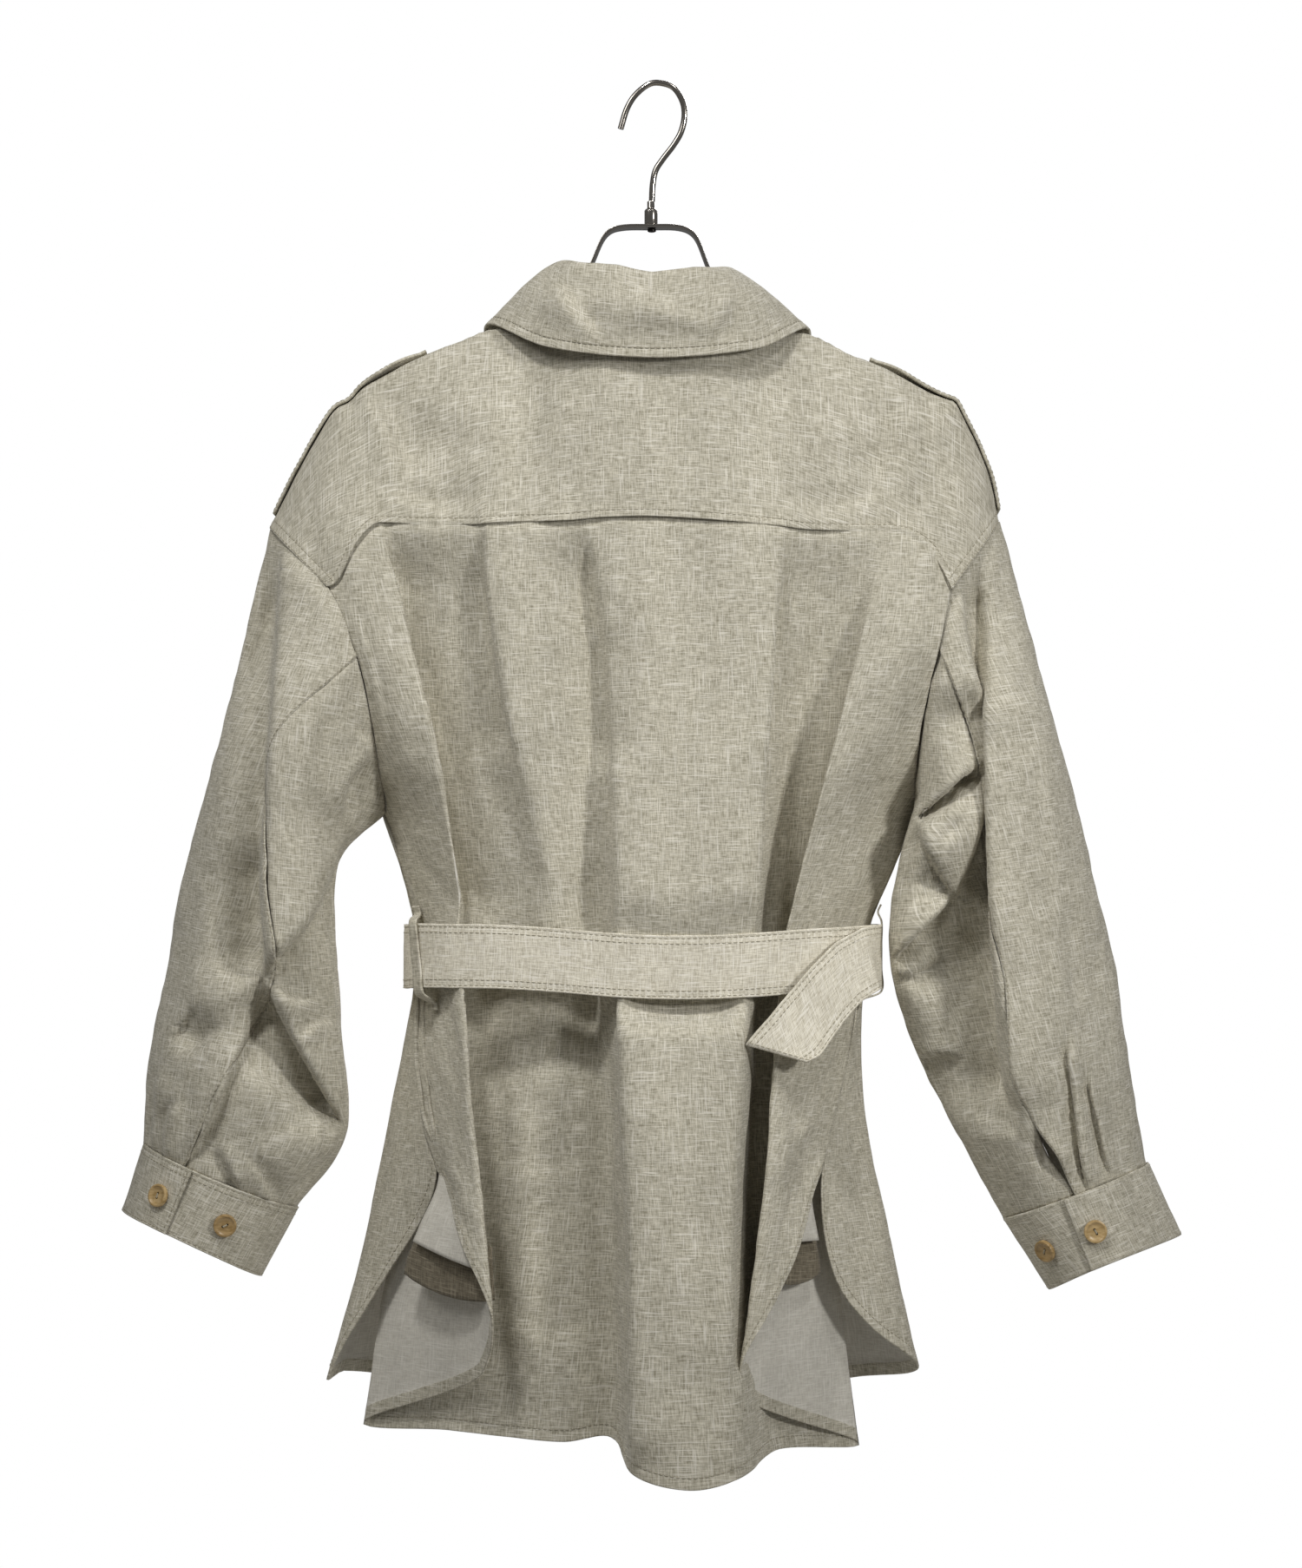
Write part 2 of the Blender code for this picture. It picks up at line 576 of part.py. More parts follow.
def sleeve_grid(side, part):
    k, t = grid_of(np.linspace(0, 1, SLEEVE_STEPS + 1), np.linspace(0, 0.999, SLEEVE_ROWS))
    seam = sleeve_seam(side, t)
    around = len(ARMHOLE)
    trim = 0.012
    if part == "top":
        start, stop = FRONT_SLEEVE_SEAM - around + trim, seam - trim
    else:
        start, stop = seam + trim, np.full(t.shape, FRONT_SLEEVE_SEAM - trim)
    c = start + (stop - start) * k
    # every column starts the same small way off the armhole
    pace = np.linalg.norm(sleeve_at(side, c, t * 0 + 0.01) - sleeve_at(side, c, t * 0), axis=-1) / 0.01
    off = ARMHOLE_GAP / pace
    return place(sleeve_at(side, c, off + (1 - off) * t))


def cuff_at(side, c, t, out):
    rows = SLEEVE_RIGHT if side else SLEEVE_LEFT
    top = ring_at(rows[-1][1:5], c)
    low = ring_at(CUFF_RIGHT if side else CUFF_LEFT, c)
    centre = (ring_at(rows[-1][1:5], c) + ring_at(rows[-1][1:5], c + 5)) / 2
    away = top - centre
    away = away / np.linalg.norm(away, axis=-1, keepdims=True)
    return top + (low - top) * t[..., None] + away * out[..., None]


def cuff_surface(side, c, t):
    # the end with the buttonhole lies over the other
    lap = np.clip((c - CUFF_OPENING[side] - 8.2) / 1.0, 0, 1)
    return place(cuff_at(side, c, t, 0.7 + 2.6 * lap * lap * (3 - 2 * lap)))


def cuff_grid(side):
    stop = CUFF_OPENING[side] + 10
    c, t = grid_of(np.linspace(stop - 10 - CUFF_OVERLAP, stop, 37), (0.01, 1.0))
    return cuff_surface(side, c, t)


def normals_of(grid):
    a = np.gradient(grid, axis=0)
    b = np.gradient(grid, axis=1)
    n = np.cross(a, b)
    return n / np.maximum(np.linalg.norm(n, axis=-1, keepdims=True), 1e-9)


def material(name, colour, rough, metal=0.0):
    mat = bpy.data.materials.new(name)
    mat.use_nodes = True
    shader = mat.node_tree.nodes["Principled BSDF"]
    shader.inputs["Base Color"].default_value = (*colour, 1.0)
    shader.inputs["Roughness"].default_value = rough
    shader.inputs["Metallic"].default_value = metal
    return mat


def add_mesh(name, verts, faces, colour, rough=0.9, metal=0.0):
    mesh = bpy.data.meshes.new(name)
    mesh.from_pydata([tuple(v) for v in np.asarray(verts) * MM], [], faces)
    bm = bmesh.new()
    bm.from_mesh(mesh)
    bmesh.ops.recalc_face_normals(bm, faces=bm.faces)
    bm.to_mesh(mesh)
    bm.free()
    obj = bpy.data.objects.new(name, mesh)
    bpy.context.scene.collection.objects.link(obj)
    mesh.materials.append(material(name, colour, rough, metal))
    return obj


def wall(name, grid, thick, colour):
    # closed cloth wall on both sides of a grid of points
    ni, nj = grid.shape[:2]
    n = normals_of(grid)
    verts = np.concatenate([(grid + n * thick / 2).reshape(-1, 3), (grid - n * thick / 2).reshape(-1, 3)])
    far = ni * nj

    def at(i, j):
        return i * nj + j

    faces = []
    for i in range(ni - 1):
        for j in range(nj - 1):
            quad = (at(i, j), at(i + 1, j), at(i + 1, j + 1), at(i, j + 1))
            faces.append(quad)
            faces.append(tuple(far + k for k in reversed(quad)))
    rim = [at(i, 0) for i in range(ni)] + [at(ni - 1, j) for j in range(1, nj)]
    rim += [at(i, nj - 1) for i in range(ni - 2, -1, -1)] + [at(0, j) for j in range(nj - 2, 0, -1)]
    for a, b in zip(rim, rim[1:] + rim[:1]):
        faces.append((b, a, far + a, far + b))
    return add_mesh(name, verts, faces, colour)


def tube_faces(rings, m):
    # faces of a closed tube of rings with m points each
    faces = [tuple(range(m)), tuple((rings - 1) * m + k for k in range(m))]
    for r in range(rings - 1):
        for k in range(m):
            a, b = r * m + k, r * m + (k + 1) % m
            faces.append((a, b, b + m, a + m))
    return faces


def sweep(name, path, profile, colour, rough, metal):
    # bar or wire along a path in the hanger's plane
    line = np.array([(x, 0.0, z) for x, z in path])
    heading = np.gradient(line, axis=0)
    heading /= np.linalg.norm(heading, axis=1, keepdims=True)
    side = np.cross(heading, (0.0, 1.0, 0.0))
    verts = []
    for point, out in zip(line, side):
        for a, b in profile:
            verts.append(point + out * a + np.array((0.0, b, 0.0)))
    return add_mesh(name, verts, tube_faces(len(line), len(profile)), colour, rough, metal)


def round_profile(radius, sides):
    return [(radius * math.cos(2 * math.pi * k / sides), radius * math.sin(2 * math.pi * k / sides))
            for k in range(sides)]


def smooth_path(path, steps):
    line = np.array(path, float)
    at = np.linspace(0, len(line) - 1, steps)
    return across(np.broadcast_to(line, at.shape + line.shape), at)


def lathe(name, profile, sides, colour, rough, metal):
    verts = [(r * math.cos(2 * math.pi * k / sides), r * math.sin(2 * math.pi * k / sides), z)
             for r, z in profile for k in range(sides)]
    return add_mesh(name, verts, tube_faces(len(profile), sides), colour, rough, metal)


def button(name, centre, out):
    # round button lying on the cloth, its face along out
    out = out / np.linalg.norm(out)
    side = np.cross(out, (0.0, 0.0, 1.0))
    side /= np.linalg.norm(side)
    up = np.cross(side, out)
    rim = BUTTON_SIZE / 2
    rings = ((rim - 0.8, 0.0), (rim, 0.9), (rim, BUTTON_THICK - 0.8), (rim - 0.9, BUTTON_THICK))
    verts = []
    for radius, height in rings:
        for k in range(BUTTON_SIDES):
            turn = 2 * math.pi * k / BUTTON_SIDES
            verts.append(centre + out * height + radius * (side * math.cos(turn) + up * math.sin(turn)))
    return add_mesh(name, verts, tube_faces(len(rings), BUTTON_SIDES), HORN, 0.45)


def spot_on(surface, a, b, outside, lift):
    # a point on a surface and the way out of it
    step = 0.01
    pa, pb = grid_of((a - step, a, a + step), (b - step, b, b + step))
    patch = surface(pa, pb)
    n = normals_of(patch)[1, 1]
    if np.dot(n, outside) < 0:
        n = -n
    return patch[1, 1] + n * lift, n


def belt_grid():
    # from under the tail across the back, round left and front, and over itself to the tail
    turns = np.radians(np.linspace(BELT_START, 376, 66))
    lap = np.clip((np.degrees(turns) - 358) / 12, 0, 1)
    out = lap * lap * (3 - 2 * lap) * (DOUBLE_CLOTH + 0.6)
    c, s = np.cos(turns), np.sin(turns)
    half = np.where(s > 0, BELT_HALF[1], BELT_HALF[2]) + out
    x = BELT_MIDDLE_X + (BELT_HALF[0] + out) * np.sign(c) * np.abs(c) ** (2 / BELT_SQUARE)
    y = -half * np.sign(s) * np.abs(s) ** (2 / BELT_SQUARE)
    z = BELT_Z - BELT_SAG * np.clip(s, 0, 1)
    rows = []
    for px, py, pz in zip(x, y, z):
        rows.append((px, py, pz, 0.0))
    rows += BELT_TAIL
    rows = np.array(rows, float)
    # even steps round the tight turns
    gone = np.concatenate([[0], np.cumsum(np.linalg.norm(np.diff(rows[:, :3], axis=0), axis=1))])
    at = np.linspace(0, gone[-1], 92)
    rows = np.stack([np.interp(at, gone, rows[:, k]) for k in range(4)], axis=1)
    lean = rows[:, 3] * math.radians(57)
    width = np.stack([-np.sin(lean), 0 * lean, np.cos(lean)], axis=1)
    half = BELT_WIDTH / 2
    return np.stack([place(rows[:, :3] + width * k) for k in (-half, half)], axis=1)


def loop_grid(side):
    # strap standing over the belt, sewn to the body above and below it
    s_top, s_low, y_top, y_low, off_body, off_belt = LOOPS[side]
    long, deep = BELT_HALF[0], BELT_HALF[1]
    highest = LOOP_RISE[-1][0]
    rows = []
    for height, lifted in LOOP_RISE:
        down = (highest - height) / (2 * highest)
        y = y_top + (y_low - y_top) * down
        reach = long * (1 - (-y / deep) ** BELT_SQUARE) ** (1 / BELT_SQUARE)
        out = np.array([reach**2 / long**3 * (1 if side else -1), -(y**2) / deep**3])
        out /= np.linalg.norm(out)
        z = BELT_Z - BELT_SAG * (-y / deep) ** (BELT_SQUARE / 2) + height
        s = s_top + (s_low - s_top) * down
        seat = back_at(np.array(s), np.array(z))[:2] + out * off_body
        over = np.array([BELT_MIDDLE_X + np.sign(out[0]) * reach, y]) + out * off_belt
        x, y = seat + (over - seat) * lifted
        rows.append((x, y, z, -out[1], out[0]))
    rows = np.array(rows, float)
    line = rows[:, :3]
    width = np.stack([rows[:, 3], rows[:, 4], 0 * rows[:, 3]], axis=1) * LOOP_WIDTH / 2
    return place(np.stack([line - width, line + width]))


def strap_at(s_out, s_in, k, w):
    # strap over the shoulder, from the sleeve seam to its point near the collar
    s = s_out + (s_in - s_out) * k
    point = np.clip((1 - k) / 0.13, 0.12, 1)
    middle = (STRAP_WIDTH[0] + STRAP_WIDTH[1]) / 2
    half = (STRAP_WIDTH[1] - STRAP_WIDTH[0]) / 2
    across_mm = middle + w * half * point
    # widths along the yoke: about 150 mm of cloth behind the ridge, 38 mm before it
    v = np.where(across_mm < 0, 0.7 + across_mm / 62 * 0.3, 0.7 + across_mm / 38 * 0.3)
    base = place(yoke_at(s, v))
    n = normals_of(base)
    n = n * np.where(n[..., 2:] < 0, -1, 1)
    lift = CLOTH / 2 + DOUBLE_CLOTH / 2 + 0.8 + STRAP_LIFT * np.clip((k - 0.55) / 0.45, 0, 1) ** 2
    return base + n * lift[..., None]


def strap_grid(s_out, s_in):
    k, w = grid_of(np.linspace(0, 1, 15), np.linspace(-1, 1, 5))
    return strap_at(s_out, s_in, k, w)


def bag_grid(inner, outer, top, low_in, low_out):
    k, t = grid_of(np.linspace(0, 1, 7), np.linspace(0, 1, 8))
    s = inner + (outer - inner) * k
    low = low_in + (low_out - low_in) * k
    base = place(back_at(s, top + (low - top) * t))
    n = normals_of(base)
    n = n * np.where(n[..., 1:2] < 0, -1, 1)
    return base + n * (BAG_INSET[0] + (BAG_INSET[1] - BAG_INSET[0]) * np.clip(t / 0.35, 0, 1))[..., None]


def stand_grid():
    w, t = grid_of(np.linspace(0, 8, 33), (0.0, 1.0))
    neck = neck_at(w, 1) + np.array([0, 0, 1.4])
    neck[..., 1] -= np.where(w < 4, underlap(neck[..., 0]), 0)
    fold = neck_at(w, 2) - np.array([0, 0, 2.6])
    return place(neck + (fold - neck) * t[..., None])


def fall_grid():
    # from the fold out, over and down to the free edge
    w, t = grid_of(np.linspace(0, 8, 31), np.linspace(0, 1, 7))
    fold, edge = neck_at(w, 2), neck_at(w, 3)
    away = (fold - np.array([-3.0, 14.0, 0.0])) * np.array([1.0, 1.0, 0.0])
    away /= np.linalg.norm(away, axis=-1, keepdims=True)
    bend = fold + away * COLLAR_ROLL + np.array([0, 0, 3.0])
    t = t[..., None]
    return place((1 - t) ** 2 * fold + 2 * t * (1 - t) * bend + t**2 * edge)


def placket_grid():
    # strip along the edge of the right front, below the neck seam
    base = front_grid(1)
    n = normals_of(base)
    n = n * np.where(n[..., 1:2] < 0, -1, 1)
    return (base + n * (CLOTH + SEAM_GAP))[-4:, 1:]


def build():
    for obj in list(bpy.data.objects):
        bpy.data.objects.remove(obj)
    wall("back_body", back_grid(), CLOTH, LINEN)
    wall("yoke", yoke_grid(), CLOTH, LINEN)
    for side, word in ((0, "left"), (1, "right")):
        wall("front_" + word, front_grid(side), CLOTH, LINEN)
        wall("sleeve_top_" + word, sleeve_grid(side, "top"), CLOTH, LINEN)
        wall("sleeve_under_" + word, sleeve_grid(side, "under"), CLOTH, LINEN)
        wall("cuff_" + word, cuff_grid(side), DOUBLE_CLOTH, LINEN)
        wall("belt_loop_" + word, loop_grid(side), 1.6, LINEN)
    wall("belt", belt_grid(), DOUBLE_CLOTH, LINEN_PALE)
    for name, inner, outer, top, low_in, low_out in BAGS:
        wall(name, bag_grid(inner, outer, top, low_in, low_out), CLOTH, LINEN_INSIDE)
    for name, s_out, s_in in STRAPS:
        wall(name, strap_grid(s_out, s_in), DOUBLE_CLOTH, LINEN)
        centre, out = spot_on(lambda a, b: strap_at(s_out, s_in, a, b), *STRAP_BUTTON, (0, 0, 1), 1.3)
        button("button_" + name, centre, out)
    wall("collar_stand", stand_grid(), DOUBLE_CLOTH, LINEN)
    wall("collar_fall", fall_grid(), DOUBLE_CLOTH, LINEN)
    placket = placket_grid()
    wall("placket", placket, CLOTH, LINEN)
    for name, z in FRONT_BUTTONS:
        middle = placket[1:3].mean(axis=0)
        spot = np.array([np.interp(-z, -middle[:, 2], middle[:, k]) for k in range(3)])
        button(name, spot + np.array([0, 1.3, 0]), np.array([0.0, 1.0, 0.0]))
    for name, side, c, upper in CUFF_BUTTONS:
        centre, out = spot_on(lambda a, b: cuff_surface(side, a, b), c + 10 * upper, 0.52, (0, -1, 0), 1.3)
        button(name, centre, out)
    sweep("hanger_hook", smooth_path(HOOK, 40), round_profile(WIRE / 2, 8), NICKEL, 0.2, 1.0)
    lathe("hanger_ferrule", FERRULE, 20, NICKEL, 0.2, 1.0)
    a, b = ARCH_SECTION[0] / 2, ARCH_SECTION[1] / 2
    sweep("hanger_arch", ARCH, ((a, -b), (a, b), (-a, b), (-a, -b)), NICKEL, 0.2, 1.0)
    sweep("hanger_arm_left", arm_path(0), round_profile(ARM_RADIUS, 10), NICKEL, 0.2, 1.0)
    sweep("hanger_arm_right", arm_path(1), round_profile(ARM_RADIUS, 10), NICKEL, 0.2, 1.0)


build()
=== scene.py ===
import math

import bpy
import numpy as np
from mathutils import Matrix, Vector


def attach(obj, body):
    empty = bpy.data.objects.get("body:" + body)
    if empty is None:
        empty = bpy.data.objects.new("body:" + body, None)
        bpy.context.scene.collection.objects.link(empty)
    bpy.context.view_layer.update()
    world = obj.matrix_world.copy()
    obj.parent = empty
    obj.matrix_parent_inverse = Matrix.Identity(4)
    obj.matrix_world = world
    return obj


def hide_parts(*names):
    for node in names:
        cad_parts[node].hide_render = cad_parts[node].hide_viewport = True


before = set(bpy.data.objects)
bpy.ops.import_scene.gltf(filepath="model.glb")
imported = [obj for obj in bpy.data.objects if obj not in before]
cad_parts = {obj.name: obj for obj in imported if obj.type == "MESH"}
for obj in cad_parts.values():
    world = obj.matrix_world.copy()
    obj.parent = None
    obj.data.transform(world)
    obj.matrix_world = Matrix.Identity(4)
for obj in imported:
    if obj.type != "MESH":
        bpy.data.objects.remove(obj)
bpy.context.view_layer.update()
print("frame loaded:", len(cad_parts), "nodes")

# tables are in mm as seen on the hanger's plane, paths of creases in pixels of the 1500 x 1806 picture
view = {
    "eyeBack": 2500.0,
    "eyeHeight": -458.0,
    "mmPerPixel": 0.57,
    "hookPixel": (750, 99),
    "picture": (1500, 1806),
    "sensor": 36.0,
}
cloth = {"single": 1.2, "double": 2.0, "gap": 0.45, "shell": 0.9, "doubleShell": 1.8}
# mm from an edge at which rows of a panel's grid lie, so that its seam or hem has a form
edgeMarks = {
    "hem": (0.0, 0.9, 2.0, 4.0, 6.4, 7.4, 8.4, 9.6),
    "underYoke": (0.0, 2.0, 3.6, 4.4, 5.4),
    "yokeSeam": (0.0, 0.7, 1.6, 3.0, 3.9, 4.6, 5.3, 6.2, 7.4),
    "armhole": (0.0, 0.8, 1.6, 2.4, 3.6, 5.2, 6.4, 7.2, 8.0, 9.4),
    "collar": (0.0, 0.8, 1.6, 3.2, 4.8, 5.6, 6.4, 7.4),
    "double": (0.0, 0.8, 1.6, 2.6, 4.0),
    "strap": (0.0, 0.8, 1.8, 3.0),
}
shirtHem = {"turned": 8.6, "wide": 8.0, "rise": 0.25, "stitches": 7.6}
toBack, toFront, toTop = (0, -1, 0), (0, 1, 0), (0, 0, 1)
sideWords = ("left", "right")


def makeCamera():
    camera = bpy.data.cameras.new("camera")
    camera.sensor_fit = "VERTICAL"
    camera.sensor_height = view["sensor"]
    camera.lens = view["sensor"] * view["eyeBack"] / (view["picture"][1] * view["mmPerPixel"])
    holder = bpy.data.objects.new("camera", camera)
    holder.location = (0, -view["eyeBack"] / 1000, view["eyeHeight"] / 1000)
    holder.rotation_euler = (math.pi / 2, 0, 0)
    bpy.context.scene.collection.objects.link(holder)
    bpy.context.scene.camera = holder


makeCamera()


def smoothStep(t):
    t = np.clip(t, 0, 1)
    return t * t * (3 - 2 * t)


def hermite(t, a, b, slopeA, slopeB):
    # smooth run from a to b with a slope at each end
    return ((2 * t**3 - 3 * t**2 + 1) * a + (t**3 - 2 * t**2 + t) * slopeA
            + (3 * t**2 - 2 * t**3) * b + (t**3 - t**2) * slopeB)


def unit(ways):
    return ways / np.maximum(np.linalg.norm(ways, axis=-1, keepdims=True), 1e-9)


def runLength(points, axis=0):
    # length of cloth gone along an axis of a line or a grid
    gone = np.cumsum(np.linalg.norm(np.diff(points, axis=axis), axis=-1), axis=axis)
    return np.concatenate([np.zeros_like(np.take(gone, [0], axis=axis)), gone], axis=axis)


def through(stations, values, at):
    # smooth run of a table's values between its rows
    st = np.asarray(stations, float)
    va = np.asarray(values, float)
    at = np.asarray(at, float)
    if st[0] > st[-1]:
        st, at = -st, -at
    slope = np.gradient(va, st, axis=0)
    k = np.clip(np.searchsorted(st, at) - 1, 0, len(st) - 2)
    more = (1,) * (va.ndim - 1)
    span = (st[k + 1] - st[k]).reshape(at.shape + more)
    free = (at - st[k]).reshape(at.shape + more) / span
    t = np.clip(free, 0, 1)
    a, b = va[k], va[k + 1]
    ma, mb = slope[k] * span, slope[k + 1] * span
    return hermite(t, a, b, ma, mb) + (free - t) * np.where(free > 1, mb, ma)


def across(controls, s):
    # point at place s on the section that runs through the control columns
    n = controls.shape[-2]
    before = 2 * controls[..., :1, :] - controls[..., 1:2, :]
    after = 2 * controls[..., -1:, :] - controls[..., -2:-1, :]
    p = np.concatenate([before, controls, after], axis=-2)
    i = np.clip(np.floor(s).astype(int), 0, n - 2)
    u = (s - i)[..., None]
    pick = []
    for k in range(4):
        pick.append(np.take_along_axis(p, (i + k)[..., None, None], axis=-2)[..., 0, :])
    knot = [np.zeros(u.shape)]
    for a, b in zip(pick, pick[1:]):
        step = np.maximum(np.linalg.norm(b - a, axis=-1, keepdims=True), 0.01)
        knot.append(knot[-1] + step**0.5)
    t = knot[1] + u * (knot[2] - knot[1])

    def mix(a, b, ta, tb):
        return ((tb - t) * a + (t - ta) * b) / (tb - ta)

    low = [mix(pick[k], pick[k + 1], knot[k], knot[k + 1]) for k in range(3)]
    high = [mix(low[k], low[k + 1], knot[k], knot[k + 2]) for k in range(2)]
    return mix(high[0], high[1], knot[1], knot[2])


def place(seen):
    # from the sizes as seen to the place in the room, along the line of sight
    seen = np.asarray(seen, float)
    grow = 1 + seen[..., 1] / view["eyeBack"]
    x = seen[..., 0] * grow
    z = view["eyeHeight"] + (seen[..., 2] - view["eyeHeight"]) * grow
    return np.stack([x, seen[..., 1], z], axis=-1)


def gridOf(a, b):
    return np.meshgrid(np.asarray(a, float), np.asarray(b, float), indexing="ij")


def seen(path):
    # picture pixels to mm on the hanger's plane
    path = np.asarray(path, float)
    x0, y0 = view["hookPixel"]
    return np.stack([(path[..., 0] - x0), (y0 - path[..., 1])], axis=-1) * view["mmPerPixel"]


def smoothPath(path, count):
    line = np.asarray(path, float)
    at = np.linspace(0, len(line) - 1, count)
    return across(np.broadcast_to(line, at.shape + line.shape), at)


def clothNoise(x, z, seed):
    # smooth random height from -1 to 1, one bump per unit
    size = 97
    table = np.random.RandomState(seed).uniform(-1, 1, (size, size))
    i, j = np.floor(x).astype(int), np.floor(z).astype(int)
    u, v = smoothStep(x - i), smoothStep(z - j)
    a = table[i % size, j % size] * (1 - u) + table[(i + 1) % size, j % size] * u
    b = table[i % size, (j + 1) % size] * (1 - u) + table[(i + 1) % size, (j + 1) % size] * u
    return a * (1 - v) + b * v


# rows of folds: name, path, lift and reach on the left of it, lift and reach on the right of it, softness,
# slip, and on the back the columns between which it lies; they die out at both ends and at these columns
folding = {"reach": 2.4, "fade": 30.0, "fadeShare": 0.3, "columnFade": 0.15, "batch": 8000}


def foldMove(x, z, fold):
    # how a fold moves the cloth: lift towards the eye on each side of its path, and slip of the
    # higher side over the lower one; right means right of a path that runs down
    path, left, leftWide, right, rightWide, soft, slip = fold[1:8]
    line = seen(path)
    length = runLength(line)[-1]
    line = smoothPath(line, max(int(length / 2), 12))
    gone = runLength(line)
    run = unit(np.gradient(line, axis=0))
    fade = min(folding["fade"], length * folding["fadeShare"])
    reach = folding["reach"] * max(leftWide, rightWide)
    low, high = line.min(axis=0) - reach, line.max(axis=0) + reach
    near = (x > low[0]) & (x < high[0]) & (z > low[1]) & (z < high[1])
    move = np.zeros(x.shape + (3,))
    spots = np.stack([x[near], z[near]], axis=-1)
    moved = np.zeros((len(spots), 3))
    for first in range(0, len(spots), folding["batch"]):
        batch = slice(first, first + folding["batch"])
        part = spots[batch]
        nearest = np.argmin(((part[:, None] - line[None]) ** 2).sum(axis=-1), axis=1)
        off = part - line[nearest]
        out = np.stack([-run[nearest, 1], run[nearest, 0]], axis=-1)
        side = (off * out).sum(axis=-1)
        over = 0.5 + 0.5 * np.tanh(side / soft)
        leftLift = (1 - over) * left * np.exp(-((side / leftWide) ** 2))
        rightLift = over * right * np.exp(-((side / rightWide) ** 2))
        hold = smoothStep(gone[nearest] / fade) * smoothStep((length - gone[nearest]) / fade)
        upper = over if right > left else 1 - over
        push = -np.sign(right - left) * slip * upper * np.exp(-((side / (2.5 * slip + 5)) ** 2))
        moved[batch, 0] = out[:, 0] * push * hold
        moved[batch, 1] = -(leftLift + rightLift) * hold
        moved[batch, 2] = out[:, 1] * push * hold
    move[near] = moved
    return move


def folded(points, folds, reach=None):
    # the folds of a piece together, on the back each between its columns
    x, z = points[..., 0], points[..., 2]
    move = np.zeros(points.shape)
    for fold in folds:
        step = foldMove(x, z, fold)
        if reach is not None:
            low, high = fold[8:]
            fade = folding["columnFade"]
            step = step * (smoothStep((reach - low) / fade) * smoothStep((high - reach) / fade))[..., None]
        move = move + step
    return move


def evenColumns(surface, low, high, step, close=()):
    # places across a panel at even steps of cloth, with some close to both edges
    a, b = gridOf(np.linspace(low, high, 801), np.linspace(0.03, 0.97, 9))
    gone = runLength(surface(a, b)).mean(axis=1)
    marks = np.linspace(0, gone[-1], int(gone[-1] / step) + 1)
    if close:
        inner = marks[(marks > max(close)) & (marks < gone[-1] - max(close))]
        marks = np.concatenate([inner, close, gone[-1] - np.array(close)])
    return np.interp(np.sort(marks), gone, a[:, 0])


def evenRows(surface, columns, step, topMarks=(0.0,), endMarks=(0.0,)):
    # rows down a panel at even steps of cloth, with some at set distances from both edges
    fine = np.linspace(0, 1, 121)
    a, b = gridOf(columns, fine)
    gone = runLength(surface(a, b), 1)
    total = gone[:, -1:]
    top, end = np.array(topMarks)[None], np.array(endMarks)[None]
    inner = total - top[:, -1:] - end[:, -1:]
    count = max(int(inner.max() / step), 2)
    between = top[:, -1:] + inner * (np.arange(1, count) / count)[None]
    marks = np.concatenate([top + 0 * total, between, total - end[:, ::-1]], axis=1)
    rows = np.stack([np.interp(marks[i], gone[i], fine) for i in range(len(columns))])
    return np.broadcast_to(np.asarray(columns)[:, None], rows.shape).copy(), rows


def normalsOf(grid):
    return unit(np.cross(np.gradient(grid, axis=0), np.gradient(grid, axis=1)))


def offGrid(base, lift, axis=1):
    # the grid moved along its normals, to the side where the axis is positive
    n = normalsOf(base)
    return base + n * np.where(n[..., axis:axis + 1] < 0, -1, 1) * lift


def outward(points, towards, spot):
    # normals of a grid, turned so that the one at the spot points the given way
    n = normalsOf(points)
    i, j = int(spot[0] * (len(points) - 1)), int(spot[1] * (points.shape[1] - 1))
    return n if np.dot(n[i, j], towards) > 0 else -n


def clothUv(points):
    # lengths of cloth across and down from the first row and the middle column
    u, v = runLength(points, 0), runLength(points, 1)
    return u - u[len(u) // 2], v


def unroll(points, way):
    # least-squares distance along a way over a grid of cloth
    ni, nj = points.shape[:2]
    stepA = (np.diff(points, axis=0) * (way[1:] + way[:-1]) / 2).sum(axis=-1)
    stepB = (np.diff(points, axis=1) * (way[:, 1:] + way[:, :-1]) / 2).sum(axis=-1)
    source = np.zeros((ni, nj))
    source[:-1] -= stepA
    source[1:] += stepA
    source[:, :-1] -= stepB
    source[:, 1:] += stepB
    mirror = np.concatenate([source, source[::-1]])
    mirror = np.concatenate([mirror, mirror[:, ::-1]], axis=1)
    bendA = 2 - 2 * np.cos(math.pi * np.arange(2 * ni) / ni)
    bendB = 2 - 2 * np.cos(math.pi * np.arange(2 * nj) / nj)
    bends = bendA[:, None] + bendB[None]
    bends[0, 0] = 1.0
    return np.real(np.fft.ifft2(np.fft.fft2(mirror) / bends))[:ni, :nj]


def weaveUv(points, lean=0.0, level=False):
    # weave unrolled over the form: its threads run down the panel at a lean, or level over a shoulder
    normals = normalsOf(points)
    turn = math.radians(lean)
    axis = np.array([1.0, 0, 0]) if level else np.array([math.sin(turn), 0, -math.cos(turn)])
    along = axis - normals * (normals @ axis)[..., None]
    along /= np.maximum(np.linalg.norm(along, axis=-1, keepdims=True), 0.05)
    aside = np.cross(normals, along)
    ways = (along, aside) if level else (aside, along)
    return [unroll(points, way) for way in ways]


